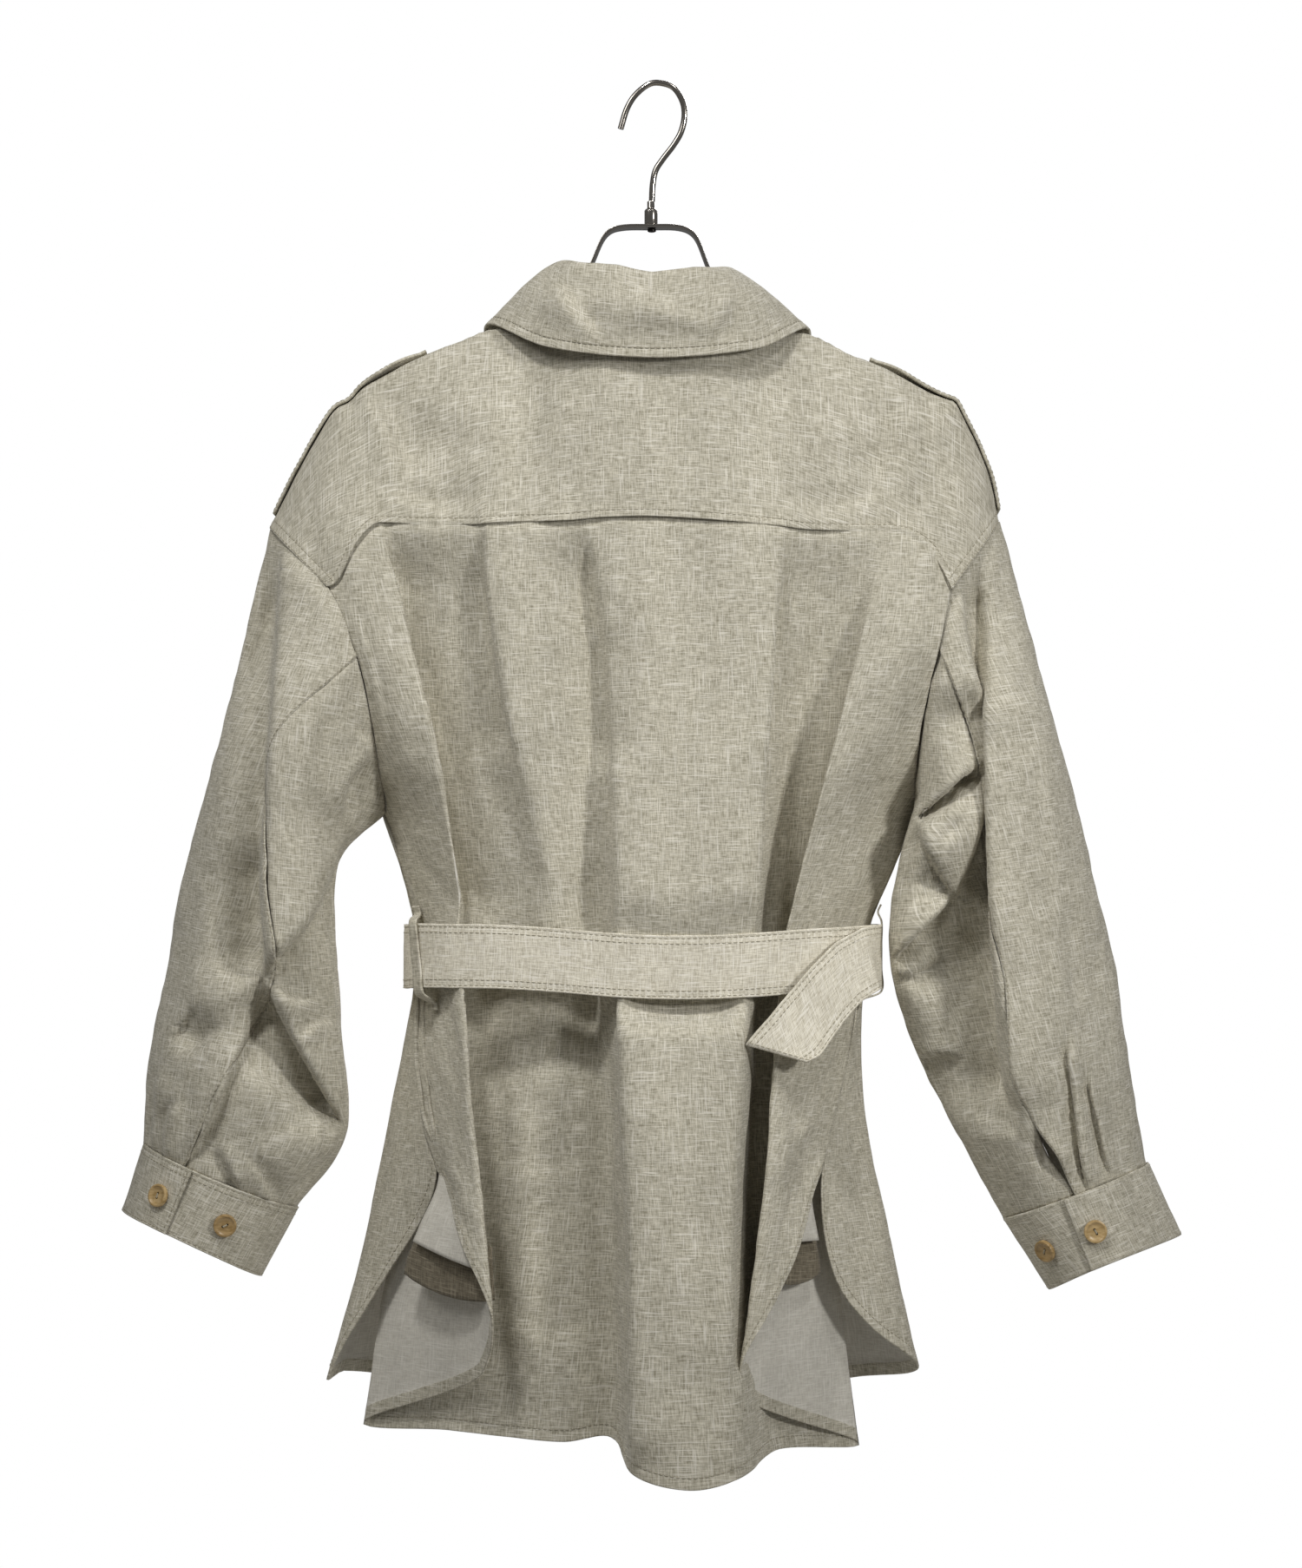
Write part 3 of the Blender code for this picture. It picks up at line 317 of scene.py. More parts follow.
def quadMesh(name, verts, quads, slots, uvs, materials):
    mesh = bpy.data.meshes.new(name)
    mesh.vertices.add(len(verts))
    mesh.vertices.foreach_set("co", (np.asarray(verts, np.float32) * 0.001).ravel())
    mesh.loops.add(len(quads) * 4)
    mesh.loops.foreach_set("vertex_index", np.asarray(quads, np.int32).ravel())
    mesh.polygons.add(len(quads))
    mesh.polygons.foreach_set("loop_start", np.arange(0, len(quads) * 4, 4, dtype=np.int32))
    mesh.polygons.foreach_set("material_index", np.asarray(slots, np.int32))
    mesh.polygons.foreach_set("use_smooth", np.ones(len(quads), bool))
    layer = mesh.uv_layers.new(name="cloth")
    layer.data.foreach_set("uv", (np.asarray(uvs, np.float32)[np.asarray(quads).ravel()] * 0.001).ravel())
    for material in materials:
        mesh.materials.append(material)
    mesh.update(calc_edges=True)
    mesh.validate()
    piece = bpy.data.objects.new(name, mesh)
    bpy.context.scene.collection.objects.link(piece)
    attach(piece, "root")
    return piece


panels = {}


def shell(name, points, normals, thick, materials, hem=None, grain=None):
    # thin cloth on both sides of a grid: outside, inside and its edges; hem is a mask of turned-in cloth
    ni, nj = points.shape[:2]
    turned = np.zeros((ni, nj)) if hem is None else hem
    inside = points - normals * (thick / 2 + 0.5 * turned)[..., None]
    outside = points + normals * thick / 2
    verts = np.concatenate([outside.reshape(-1, 3), inside.reshape(-1, 3)])
    far = ni * nj
    k = np.arange(far).reshape(ni, nj)
    quads = np.stack([k[:-1, :-1], k[1:, :-1], k[1:, 1:], k[:-1, 1:]], axis=-1).reshape(-1, 4)
    natural = np.cross(np.gradient(points, axis=0), np.gradient(points, axis=1))
    if (natural * normals).sum() < 0:
        quads = quads[:, ::-1]
    rim = np.concatenate([k[:, 0], k[-1, 1:], k[-2::-1, -1], k[0, -2:0:-1]])
    after = np.roll(rim, -1)
    edge = np.stack([rim, after, after + far, rim + far], axis=-1)
    if (natural * normals).sum() > 0:
        edge = edge[:, ::-1]
    inner = quads[:, ::-1] + far
    slot = np.ones(len(inner), int)
    if hem is not None:
        slot[(turned.reshape(-1)[quads] > 0.5).all(axis=1)] = 0
    slots = np.concatenate([np.zeros(len(quads), int), slot, np.zeros(len(edge), int)])
    u, v = clothUv(points)
    uv = np.stack((u, v) if grain is None else grain(points), axis=-1).reshape(-1, 2)
    faces = np.concatenate([quads, inner, edge])
    piece = quadMesh(name, verts, faces, slots, np.concatenate([uv, uv]), materials)
    panels[name] = {"piece": piece, "outside": outside, "inside": inside, "normals": normals, "u": u, "v": v}
    return piece


def declareCloth(name):
    # the cut of a panel, measured along its cloth
    panel = panels[name]
    u, v = panel["u"], panel["v"]
    grid = panel["outside"]
    d1, d2 = grid[1:, 1:] - grid[:-1, :-1], grid[1:, :-1] - grid[:-1, 1:]
    area = np.linalg.norm(np.cross(d1, d2), axis=-1).sum() / 2e6
    width, length = max((u[-1] - u[0]).max() / 1000, 0.0102), v[:, -1].max() / 1000
    if area > width * length:
        length = area / width
    area = max(area, 0.31 * width * length)
    print(f"{name}: cut {width:.3f} x {length:.3f} m, {area:.4f} square metres")


def insetLine(name, edge, distance, span=(0.0, 1.0), inside=False):
    # line on a panel at a distance from one of its edges, with the way out of the cloth
    panel = panels[name]
    grid, normals = panel["inside" if inside else "outside"], panel["normals"] * (-1 if inside else 1)
    if edge in ("start", "end"):
        grid, normals = np.swapaxes(grid, 0, 1), np.swapaxes(normals, 0, 1)
    if edge in ("end", "hem"):
        grid, normals = grid[:, ::-1], normals[:, ::-1]
    gone = runLength(grid, 1)
    line, out = [], []
    for i in range(int(span[0] * (len(grid) - 1)), int(span[1] * (len(grid) - 1)) + 1):
        if gone[i, -1] > distance:
            line.append([np.interp(distance, gone[i], grid[i, :, k]) for k in range(3)])
            out.append([np.interp(distance, gone[i], normals[i, :, k]) for k in range(3)])
    return np.array(line), np.array(out)


sewing = {"pitch": 3.7, "length": 2.8, "thick": 0.42, "rise": 0.16}


def sew(name, lines, material):
    # rows of stitches, each a little bowed bead of thread whose ends dip into the cloth
    verts, quads = [], []
    for line, out in lines:
        gone = runLength(line)
        for start in np.arange(sewing["pitch"] * 0.4, gone[-1] - sewing["length"], sewing["pitch"]):
            at = start + sewing["length"] * np.array([0.0, 0.3, 0.7, 1.0])
            spots = np.stack([np.interp(at, gone, line[:, k]) for k in range(3)], axis=-1)
            up = unit(np.array([np.interp(start, gone, out[:, k]) for k in range(3)]))
            side = np.cross(up, unit(spots[-1] - spots[0]))
            base = len(verts)
            for spot, lift, fat in zip(spots, (-0.25, 1, 1, -0.25), (0.5, 1, 1, 0.5)):
                half = sewing["thick"] / 2 * fat
                middle = spot + up * sewing["rise"] * lift
                for a, b in ((1, -1), (1, 1), (-1, 1), (-1, -1)):
                    verts.append(middle + side * half * a + up * half * b * 0.8)
            for ring in range(3):
                for k in range(4):
                    p, q = base + ring * 4 + k, base + ring * 4 + (k + 1) % 4
                    quads.append((p, p + 4, q + 4, q))
            quads.append((base, base + 1, base + 2, base + 3))
            quads.append((base + 15, base + 14, base + 13, base + 12))
    verts = np.array(verts)
    return quadMesh(name, verts, np.array(quads), np.zeros(len(quads)), verts[:, [0, 2]], [material])


def rollEdge(name, line, thick, material):
    # rolled edge of cloth: a round bead that tapers to its ends
    sides, taper = 8, 6
    run = unit(np.gradient(line, axis=0))
    side = unit(np.cross(run, (0, 1, 0)))
    up = np.cross(side, run)
    turn = np.linspace(0, 2 * math.pi, sides, endpoint=False)[None, :, None]
    step = np.arange(len(line))
    half = thick / 2 * np.sqrt(np.clip(np.minimum(step, step[::-1]) / taper, 0.04, 1))[:, None, None]
    rings = line[:, None] + (side[:, None] * np.cos(turn) + up[:, None] * np.sin(turn)) * half
    k = np.arange(len(line) * sides).reshape(-1, sides)
    after = np.roll(k, -1, axis=1)
    quads = np.stack([k[:-1], k[1:], after[1:], after[:-1]], axis=-1).reshape(-1, 4)
    around = np.broadcast_to(np.arange(sides) * thick * 0.4, k.shape)
    along = np.broadcast_to(np.cumsum(np.linalg.norm(np.gradient(line, axis=0), axis=1))[:, None], k.shape)
    uv = np.stack([around, along], axis=-1).reshape(-1, 2)
    return quadMesh(name, rings.reshape(-1, 3), quads, np.zeros(len(quads)), uv, [material])


seamForm = {"inset": 1.2, "slope": 1.6, "groove": 0.45, "grooveWide": 0.9}


def edgeBand(distance, wide, rise):
    # cloth is thicker over a seam allowance and drawn in where it is stitched
    inset = seamForm["inset"]
    groove = seamForm["groove"] * np.exp(-(((distance - wide + inset) / seamForm["grooveWide"]) ** 2))
    return rise * smoothStep((wide + inset - distance) / seamForm["slope"]) - groove


def edgeDistance(points, edge):
    # distance of every point of a grid from an edge line
    flat = points.reshape(-1, 3)
    far = []
    for part in np.array_split(flat, len(flat) // 4000 + 1):
        far.append(np.sqrt(((part[:, None] - edge[None]) ** 2).sum(axis=-1).min(axis=1)))
    return np.concatenate(far).reshape(points.shape[:2])


# width and height of bumps in mm, small, broad and smallest
wear = {"bumps": ((13, 16), (42, 60), (7, 8)), "start": 40}


def ripple(points, seed, fine, broad):
    # small unevenness of cloth that has hung and been worn
    u, v = clothUv(points)
    lift = 0
    for index, (high, (wide, tall)) in enumerate(zip((fine, broad, 0.5 * fine), wear["bumps"])):
        lift = lift + high * clothNoise(u / wide + wear["start"], v / tall + wear["start"], seed + index)
    return lift


def linear(hexColour):
    parts = [int(hexColour[k:k + 2], 16) / 255 for k in (1, 3, 5)]
    return [c / 12.92 if c <= 0.04045 else ((c + 0.055) / 1.055) ** 2.4 for c in parts] + [1.0]


def addNode(tree, kind, values=None, links=None, **settings):
    node = tree.nodes.new("ShaderNode" + kind)
    for key, value in settings.items():
        setattr(node, key, value)
    for key, value in (values or {}).items():
        node.inputs[key].default_value = value
    for key, source in (links or {}).items():
        tree.links.new(source, node.inputs[key])
    return node


def newMaterial(name, roughness, **constants):
    made = bpy.data.materials.new(name)
    made.use_nodes = True
    shader = made.node_tree.nodes["Principled BSDF"]
    shader.inputs["Roughness"].default_value = roughness
    for key, value in constants.items():
        shader.inputs[key.replace("_", " ")].default_value = value
    return made, made.node_tree, shader


def makeLinen(name, dark, light, pale, yarnMm, depthMm):
    # dry, matt plain weave: heathered ground, thin pale slubs both ways, faint broad mottling
    made, tree, shader = newMaterial(name, 0.93, Sheen_Weight=0.12, Sheen_Roughness=0.6,
                                     Specular_IOR_Level=0.18)
    uv = addNode(tree, "UVMap", uv_map="cloth").outputs[0]
    run = []
    # width and height in mm, detail: yarns both ways, slubs both ways, mottling; real yarns are about 0.6 mm,
    # drawn coarser so that they show at this distance
    sizes = ((yarnMm, 7, 3), (7, yarnMm, 3), (yarnMm * 1.2, 28, 1), (20, yarnMm * 1.2, 1), (34, 60, 2))
    for index, (wide, tall, detail) in enumerate(sizes):
        placed = {"Scale": (1000 / wide, 1000 / tall, 1), "Location": (7.3 * index, 3.1, 0)}
        spread = addNode(tree, "Mapping", placed, {"Vector": uv})
        run.append(addNode(tree, "TexNoise", {"Scale": 1.0, "Detail": detail, "Roughness": 0.6},
                           {"Vector": spread.outputs[0]}, noise_dimensions="2D").outputs[0])
    both = addNode(tree, "Math", {}, {0: run[0], 1: run[1]}, operation="ADD").outputs[0]
    ground = addNode(tree, "MapRange", {"From Min": 0.69, "From Max": 1.29}, {"Value": both}).outputs[0]
    colour = addNode(tree, "Mix", {6: linear(dark), 7: linear(light)}, {0: ground},
                     data_type="RGBA").outputs[2]
    # slubs: fewer down the cloth than across it
    for slub, (least, most) in zip(run[2:4], ((0.61, 0.5), (0.6, 0.55))):
        shows = {"From Min": least, "From Max": least + 0.13, "To Max": most}
        strong = addNode(tree, "MapRange", shows, {"Value": slub}).outputs[0]
        colour = addNode(tree, "Mix", {7: linear(pale)}, {0: strong, 6: colour}, data_type="RGBA").outputs[2]
    broad = addNode(tree, "MapRange", {"From Min": 0.3, "From Max": 0.7, "To Min": 0.94, "To Max": 1.05},
                    {"Value": run[4]}).outputs[0]
    shade = addNode(tree, "VectorMath", {}, {0: colour, "Scale": broad}, operation="SCALE").outputs[0]
    tree.links.new(shade, shader.inputs["Base Color"])
    bump = addNode(tree, "Bump", {"Strength": 1.0, "Distance": depthMm / 1000}, {"Height": both})
    tree.links.new(bump.outputs[0], shader.inputs["Normal"])
    return made


def makePlain(name, hexColour, roughness, **constants):
    made, _, shader = newMaterial(name, roughness, **constants)
    shader.inputs["Base Color"].default_value = linear(hexColour)
    return made


def makeHorn(name, dark, light):
    # polished horn: cloudy streaks under a soft gloss
    made, tree, shader = newMaterial(name, 0.34, Specular_IOR_Level=0.5)
    where = addNode(tree, "TexCoord").outputs["Object"]
    spread = addNode(tree, "Mapping", {"Scale": (150, 150, 420)}, {"Vector": where})
    cloudy = {"Scale": 1.0, "Detail": 3.0, "Distortion": 0.8}
    cloud = addNode(tree, "TexNoise", cloudy, {"Vector": spread.outputs[0]}).outputs[0]
    streak = addNode(tree, "MapRange", {"From Min": 0.35, "From Max": 0.65}, {"Value": cloud}).outputs[0]
    tint = addNode(tree, "Mix", {6: linear(dark), 7: linear(light)}, {0: streak}, data_type="RGBA").outputs[2]
    tree.links.new(tint, shader.inputs["Base Color"])
    return made


weaves = {
    # ground from dark to light, slubs, width of a yarn and height of the weave in mm
    "linen": ("#908a77", "#d3cdbb", "#e9e4d7", 0.8, 0.2),  # greige and dry, as the jacket looks outside
    "linenBelt": ("#b6ae9a", "#eee8d6", "#f8f3e7", 0.8, 0.2),  # the same weave, paler
    "linenFacingPaintedShade": ("#5d5546", "#857c69", "#a39a86", 0.8, 0.2),  # the same weave, darkened as painted shade behind the pockets
    "linenInside": ("#c2bdb1", "#dad6ca", "#e4e0d6", 1.0, 0.10),  # pale and flatter
    "pocketCotton": ("#c2bdb1", "#dad6ca", "#e4e0d6", 0.9, 0.06),  # pale and smooth
}
colours = {
    # dark and light streaks
    "hornTan": ("#a68958", "#c6ab7c"),
    # darker horn for the cuffs' second buttons: partly their own tone, partly painted shade
    "hornBrownAndShade": ("#8f7447", "#b3976a"),
    "thread": "#a39c88",
    "nickel": "#b9b3aa",
    # near-black: painted shade of the screw hole under the arch
    "holeShadeSteel": "#2a2724",
    "floor": "#e9e7e3",
}
linens = [makeLinen(name, *weave) for name, weave in weaves.items()]
linen, beltLinen, paintedShadeLinen, insideLinen, pocketCloth = linens
threadCotton = makePlain("threadCotton", colours["thread"], 0.8)  # dull sewing thread
nickel = makePlain("nickelPlate", colours["nickel"], 0.16, Metallic=1.0)  # bright plating, warm grey
holeShadeSteel = makePlain("holeShadeSteel", colours["holeShadeSteel"], 0.4, Metallic=0.8)  # near-black head of the rivet, painted shade of the screw hole
hornTan = makeHorn("hornTan", *colours["hornTan"])
hornBrownAndShade = makeHorn("hornBrownAndShade", *colours["hornBrownAndShade"])
print("materials ready")


def makePanel(name, surface, span, step, towards, seed, spot=(0.5, 0.5), marks=None, thick=cloth["shell"],
              shape=None, insides=None, hemEdge=None, edges=(), rippleSize=(0.1, 0.2), grain=None):
    # one cut of cloth on its solid's form: even grid, folds, seams, hem and both faces; edges have the width
    # of their seam allowance and the rise over it
    marks = marks or {}
    columns = evenColumns(surface, *span, step, marks.get("side", ()))
    a, b = evenRows(surface, columns, step, marks.get("top", (0.0,)), marks.get("end", (0.0,)))
    points = (shape or surface)(a, b)
    normals = outward(points, towards, spot)
    lift = ripple(points, seed, *rippleSize)
    borders = {"top": points[:, 0], "hem": points[:, -1], "start": points[0], "end": points[-1]}
    for edge, wide, rise in edges:
        lift = lift + edgeBand(edgeDistance(points, borders[edge]), wide, rise)
    turned = None
    if hemEdge is not None:
        turned = (edgeDistance(points, borders["hem"]) < hemEdge).astype(float)
    points = points + normals * lift[..., None]
    normals = outward(points, towards, spot)
    piece = shell(name, points, normals, thick, [linen, insides or insideLinen], turned, grain)
    return piece


def finishPanel(name, node, rows=(), extra=()):
    # rows of stitches along a panel's edges, the node it stands for and its cut
    extra = list(extra)
    if rows:
        stitches = sew("stitches_" + name, [insetLine(name, *row) for row in rows], threadCotton)
        extra.append(stitches)
    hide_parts(node)
    declareCloth(name)


# belt
belt = {
    "width": 42.0,
    "middleX": -6.0,
    "half": (155.5, 64.0, 70.0),
    "square": 3.0,
    "z": -571.0,
    "sag": 3.0,
    "hold": (50.0, 22.0),  # reach of its pull up and down, length over which that fades
    "room": 0.4,
    "turns": (12.0, 376.0),
    "lap": (358.0, 12.0),
    "cut": {"span": (0.0, 1.0), "step": 3.0, "seed": 61, "spot": (0.25, 0.5), "rippleSize": (0.3, 0.8)},
    "seam": (3.2, 0.2),
    "stitches": (("top", 1.8), ("top", 5.4), ("hem", 1.8), ("hem", 5.4), ("end", 2.0)),
    "tail": (
        # x, y, z, lean of the width
        (144, -46, -573, 0.28),
        (130, -55, -581, 0.42),
        (116, -62, -596, 0.52),
        (105, -67, -610, 0.66),
        (94, -72, -624, 0.95),
        (82, -76, -635, 1.3),
    ),
    "hang": (
        # x, height above its level
        (-170, 1.0), (-140, 2.0), (-100, 2.2), (-60, 0.0), (-20, -3.2), (15, -4.4), (60, -3.4), (100, -1.0),
        (150, 0.5),
    ),
}


def beltDepth(x, half):
    # how far out the belt stands at x
    reach = np.clip(np.abs(x - belt["middleX"]) / belt["half"][0], 0, 0.999)
    return half * (1 - reach**belt["square"]) ** (1 / belt["square"])


def cinch(x, y, z):
    # the belt holds in whatever stands proud of it
    reach, fade = belt["hold"]
    near = smoothStep((reach - np.abs(z - belt["z"] + belt["sag"])) / fade)
    room = (cloth["double"] + cloth["single"]) / 2 + belt["room"]
    back = -(beltDepth(x, belt["half"][1]) - room)
    front = beltDepth(x, belt["half"][2]) - room
    return y + near * (np.clip(back - y, 0, None) - np.clip(y - front, 0, None))


# seams that several panels share
armhole = (
    # name, left x, left z, right x, right z, y
    ("tip", -250, -290, 228, -286, 4),
    ("yoke_back", -212, -329, 197, -331, -38),
    ("back_mid", -196, -365, 191, -360, -44),
    ("back_low", -184, -411, 180, -408, -36),
    ("back_under", -178, -451, 174, -451, -16),
    ("under", -176, -476, 174, -476, 6),
    ("front_under", -179, -451, 177, -451, 28),
    ("front_low", -186, -411, 185, -408, 40),
    ("front_mid", -201, -365, 198, -363, 44),
    ("yoke_front", -221, -324, 211, -323, 38),
)
backEdgeNames = ("yoke_back", "back_mid", "back_low", "back_under", "under")
frontEdgeNames = ("yoke_front", "front_mid", "front_low", "front_under", "under")
sideSeam = (
    # z, left x, right x, y
    (-513, -164, 159, 4),
    (-549, -155, 144, 0),
    (-599, -153, 136, -6),
    (-640, -154, 129, -18),
    (-685, -149, 118, -30),
    (-720, -140, 111, -40),
)


def seamRows(side, slit, rows):
    # x and y of a panel's side edge by height: armhole, side seam, slit
    names = [row[0] for row in armhole]
    table = []
    for name in rows:
        row = armhole[names.index(name)]
        table.append((row[2 + 2 * side], row[1 + 2 * side], row[5]))
    for z, left, right, y in sideSeam + slit:
        table.append((z, right if side else left, y))
    return np.array(table, float)


def edgeAt(side, slit, rows, z):
    table = seamRows(side, slit, rows)
    return through(table[:, 0], table[:, 1:], z)


# back
backBody = {
    "levels": (-290, -417, -574, -673, -770, -867),
    "folds": (
        # name, yoke seam z, hem z, x at each level, depth y at each level
        ("fold_l", -287, -806, (-177, -148, -125, -118, -108, -101), (-40, -54, -50, -66, -82, -92)),
        ("under_l", -287, -846, (-171, -150, -130, -124, -115, -110), (-40, -46, -38, -48, -56, -62)),
        ("tuck_l", -287, -877, (-165, -154, -138, -147, -172, -188), (-41, -36, -22, -14, 0, 4)),
        ("floor_l", -288, -882, (-154, -138, -114, -109, -120, -132), (-42, -36, -28, -24, -20, -24)),
        ("shade_l", -288, -887, (-116, -104, -84, -80, -84, -90), (-46, -42, -40, -36, -36, -42)),
        ("pleat_l", -288, -890, (-108, -92, -60, -57, -57, -57), (-50, -53, -50, -44, -46, -54)),
        ("valley_l", -285, -887, (-50, -43, -34, -29, -27, -26), (-50, -48, -46, -50, -54, -62)),
        ("ridge_l", -283, -912, (-29, -24, -21, -17, -14, -12), (-51, -56, -66, -76, -85, -94)),
        ("ridge_m", -282, -922, (20, 20, 21, 21, 21, 23), (-53, -60, -70, -82, -93, -104)),
        ("ridge_r", -290, -915, (87, 75, 63, 58, 54, 55), (-51, -57, -66, -76, -87, -96)),
        ("floor_r", -292, -895, (111, 97, 74, 70, 69, 80), (-46, -37, -30, -32, -32, -38)),
        ("tuck_r", -292, -891, (143, 128, 102, 104, 121, 134), (-43, -36, -22, -16, -6, 0)),
        ("under_r", -292, -864, (150, 126, 91, 84, 77, 66), (-42, -46, -38, -48, -56, -64)),
        ("fold_r", -292, -838, (156, 124, 86, 79, 70, 55), (-40, -54, -54, -66, -82, -92)),
    ),
    "slit": ((-770, -156, 118, -46), (-850, -158, 122, -50)),
    "sideTop": (-306, -306),
    "sideHem": (-744, -770),
    "slitTop": -711,
    "sideSwell": 5.0,
    "tuckUnder": 4.0,
    "cut": {"span": (0.0, 17.0), "step": 3.3, "seed": 11, "spot": (0.58, 0.5), "rippleSize": (0.4, 1.0)},
    "seamHold": (0.12, 45.0),  # share of the folds that shows at the yoke's seam, way down to all of them
    "creases": (
        ("fold_l", ((436, 560), (441, 605), (455, 680), (475, 770), (495, 850), (512, 950), (534, 1080)),
         -4, 30, -15, 30, 1.0, 4.5, 0.4, 7.2),
        ("pleat_l", ((558, 560), (562, 680), (571, 740), (583, 810), (595, 886)),
         -8, 24, 3, 24, 1.2, 2.5, 4.5, 9),
        ("pleat_l_low", ((590, 850), (608, 930), (634, 1046)), -3, 16, 2, 24, 5, 0, 4.5, 9),
        ("valley_mid", ((666, 530), (676, 620), (688, 720), (698, 800), (704, 900)),
         -7, 18, -6, 14, 7, 0, 5.5, 11),
        ("dent_mid", ((690, 730), (708, 752), (722, 764)), -2, 11, -1.5, 11, 4, 0, 5.5, 11),
        ("ridge_edge", ((671, 585), (683, 650), (695, 730), (703, 860), (706, 980), (710, 1090)),
         -7, 20, 4, 30, 2, 1, 6.5, 10.5),
        ("above_belt", ((720, 1048), (790, 1054), (866, 1048)), 4, 14, 4, 14, 6, 0, 8, 11.4),
        ("under_belt", ((520, 1124), (560, 1132), (620, 1138), (680, 1142), (730, 1142)),
         -28, 46, -28, 18, 4, 0, 2.8, 8.0),
        ("ridge_low", ((712, 1120), (718, 1300), (725, 1420), (726, 1700)),
         -11, 26, 6, 34, 1.5, 3, 6.5, 10.5),
        ("pleat_r", ((906, 580), (893, 680), (887, 760), (882, 830), (877, 900), (873, 980), (866, 1090)),
         3, 24, -9, 44, 1.0, 4.5, 9.6, 14.5),
        ("under_ridge", ((700, 1150), (740, 1156), (790, 1158), (870, 1152)),
         -11, 15, -11, 16, 3, 0, 8.0, 11.2),
        ("fold_r", ((1026, 590), (1003, 700), (975, 800), (950, 900), (925, 1000), (902, 1090)),
         3, 16, 2, 26, 1.4, 1, 11, 16.6),
        ("ridge_right", ((861, 1120), (853, 1300), (846, 1420), (844, 1600)),
         5, 26, -9, 16, 2.5, 2, 9.6, 13),
        ("pocket_l", ((486, 1110), (484, 1180), (488, 1250), (498, 1320)), 0, 6, -3, 10, 2, 0, -1, 2.6),
        ("flap_l", ((522, 1110), (526, 1180), (532, 1250), (538, 1330)), -2, 12, 5, 10, 2, 0, 0, 3.4),
        ("flap_l2", ((500, 1330), (520, 1360), (540, 1420)), -3, 9, 3, 9, 3, 0, 0, 3),
        ("flap_r", ((900, 1380), (920, 1320), (950, 1296)), -4, 12, 4, 14, 3, 0, 12, 17),
        ("flap_r2", ((905, 1250), (912, 1320), (900, 1420)), 3, 12, -4, 12, 4, 0, 12, 17),
        ("hang_l", ((606, 1240), (616, 1400), (624, 1580)), 3.5, 22, -4, 26, 8, 0, 4.5, 8.5),
        ("hang_l2", ((572, 1400), (590, 1520), (600, 1640)), -4, 16, 3, 20, 7, 0, 4.5, 8.5),
        ("hang_m", ((790, 1240), (796, 1420), (800, 1600)), 2, 20, -2.2, 22, 10, 0, 8.5, 11.5),
        ("cross_l", ((560, 1330), (620, 1350), (690, 1340)), 1.2, 16, -1.2, 16, 6, 0, 4.5, 8.5),
        ("cross_l2", ((570, 1500), (630, 1540), (700, 1520)), 1.4, 16, -1.4, 16, 6, 0, 4.5, 8.5),
    ),
    "lips": (
        # path and thickness of the rolled edges of the left pocket's mouth
        (((482, 1138), (480, 1180), (480, 1220), (485, 1262), (490, 1290), (498, 1314)), 3.4),
        (((489, 1138), (488, 1180), (489, 1222), (494, 1262), (498, 1288), (502, 1310)), 2.4),
    ),
}


def backSpan():
    # heights of the yoke seam and of the hem for each column of the back
    tops = [row[1] for row in backBody["folds"]]
    hems = [row[2] for row in backBody["folds"]]
    (topL, topR), (hemL, hemR), slitTop = backBody["sideTop"], backBody["sideHem"], backBody["slitTop"]
    _, _, seamL, _, seamR, _ = armhole[1]
    upper = np.array([seamL, topL, *tops, topR, seamR], float)
    return upper, np.array([slitTop, hemL, *hems, hemR, slitTop], float)


def backAt(s, z):
    # point on the back body at column place s and height z
    foldX = np.array([row[3] for row in backBody["folds"]], float).T
    foldY = np.array([row[4] for row in backBody["folds"]], float).T
    folds = np.stack([through(backBody["levels"], foldX, z), through(backBody["levels"], foldY, z)], axis=-1)
    left = edgeAt(0, backBody["slit"], backEdgeNames, z)[..., None, :]
    right = edgeAt(1, backBody["slit"], backEdgeNames, z)[..., None, :]
    swell = np.array([0, -backBody["sideSwell"]])
    sideL = (left + folds[..., :1, :]) / 2 + swell
    sideR = (right + folds[..., -1:, :]) / 2 + swell
    xy = across(np.concatenate([left, sideL, folds, sideR, right], axis=-2), s)
    x = xy[..., 0]
    y = cinch(x, xy[..., 1], z)
    return np.stack([x, y, z], axis=-1)


def backEdgeHeight(s, which):
    values = backSpan()[which]
    places = range(len(values))
    if which:
        return through(places, values, s)
    # the seam's corners are eased, and it curves down to the armholes beyond the first and last fold
    first, last = 2, len(values) - 3
    reach = 0.6 * np.clip(np.minimum(s - first, last - s), 0, 1)
    middle = sum(np.interp(s + reach * k, places, values) for k in np.linspace(-1, 1, 9)) / 9
    left = values[0] + (values[first] - values[0]) * smoothStep(s / 2)
    right = values[last] + (values[-1] - values[last]) * np.clip((s - last) / 2, 0, 1) ** 2.2
    return np.where(s < first, left, np.where(s > last, right, middle))


def backSurface(s, t):
    seam, hem, tuck = backEdgeHeight(s, 0), backEdgeHeight(s, 1), backBody["tuckUnder"]
    z = seam + tuck + (hem - seam - tuck) * t
    points = backAt(s, np.minimum(z, seam))
    points[..., 2] += np.clip(z - seam, 0, None)
    points[..., 1] += 1.5 * smoothStep((z - seam + 4.0) / 4.0)  # slips under the yoke
    return points


def backShape(s, t):
    points = backSurface(s, t)
    least, long = backBody["seamHold"]
    hold = least + (1 - least) * smoothStep((backEdgeHeight(s, 0) - points[..., 2]) / long)
    return place(points + folded(points, backBody["creases"], s) * hold[..., None])


makePanel("backCloth", lambda s, t: place(backSurface(s, t)), towards=toBack, shape=backShape,
          marks={"top": edgeMarks["underYoke"], "end": edgeMarks["hem"]}, hemEdge=shirtHem["turned"],
          edges=(("hem", shirtHem["wide"], shirtHem["rise"]),), grain=weaveUv, **backBody["cut"])


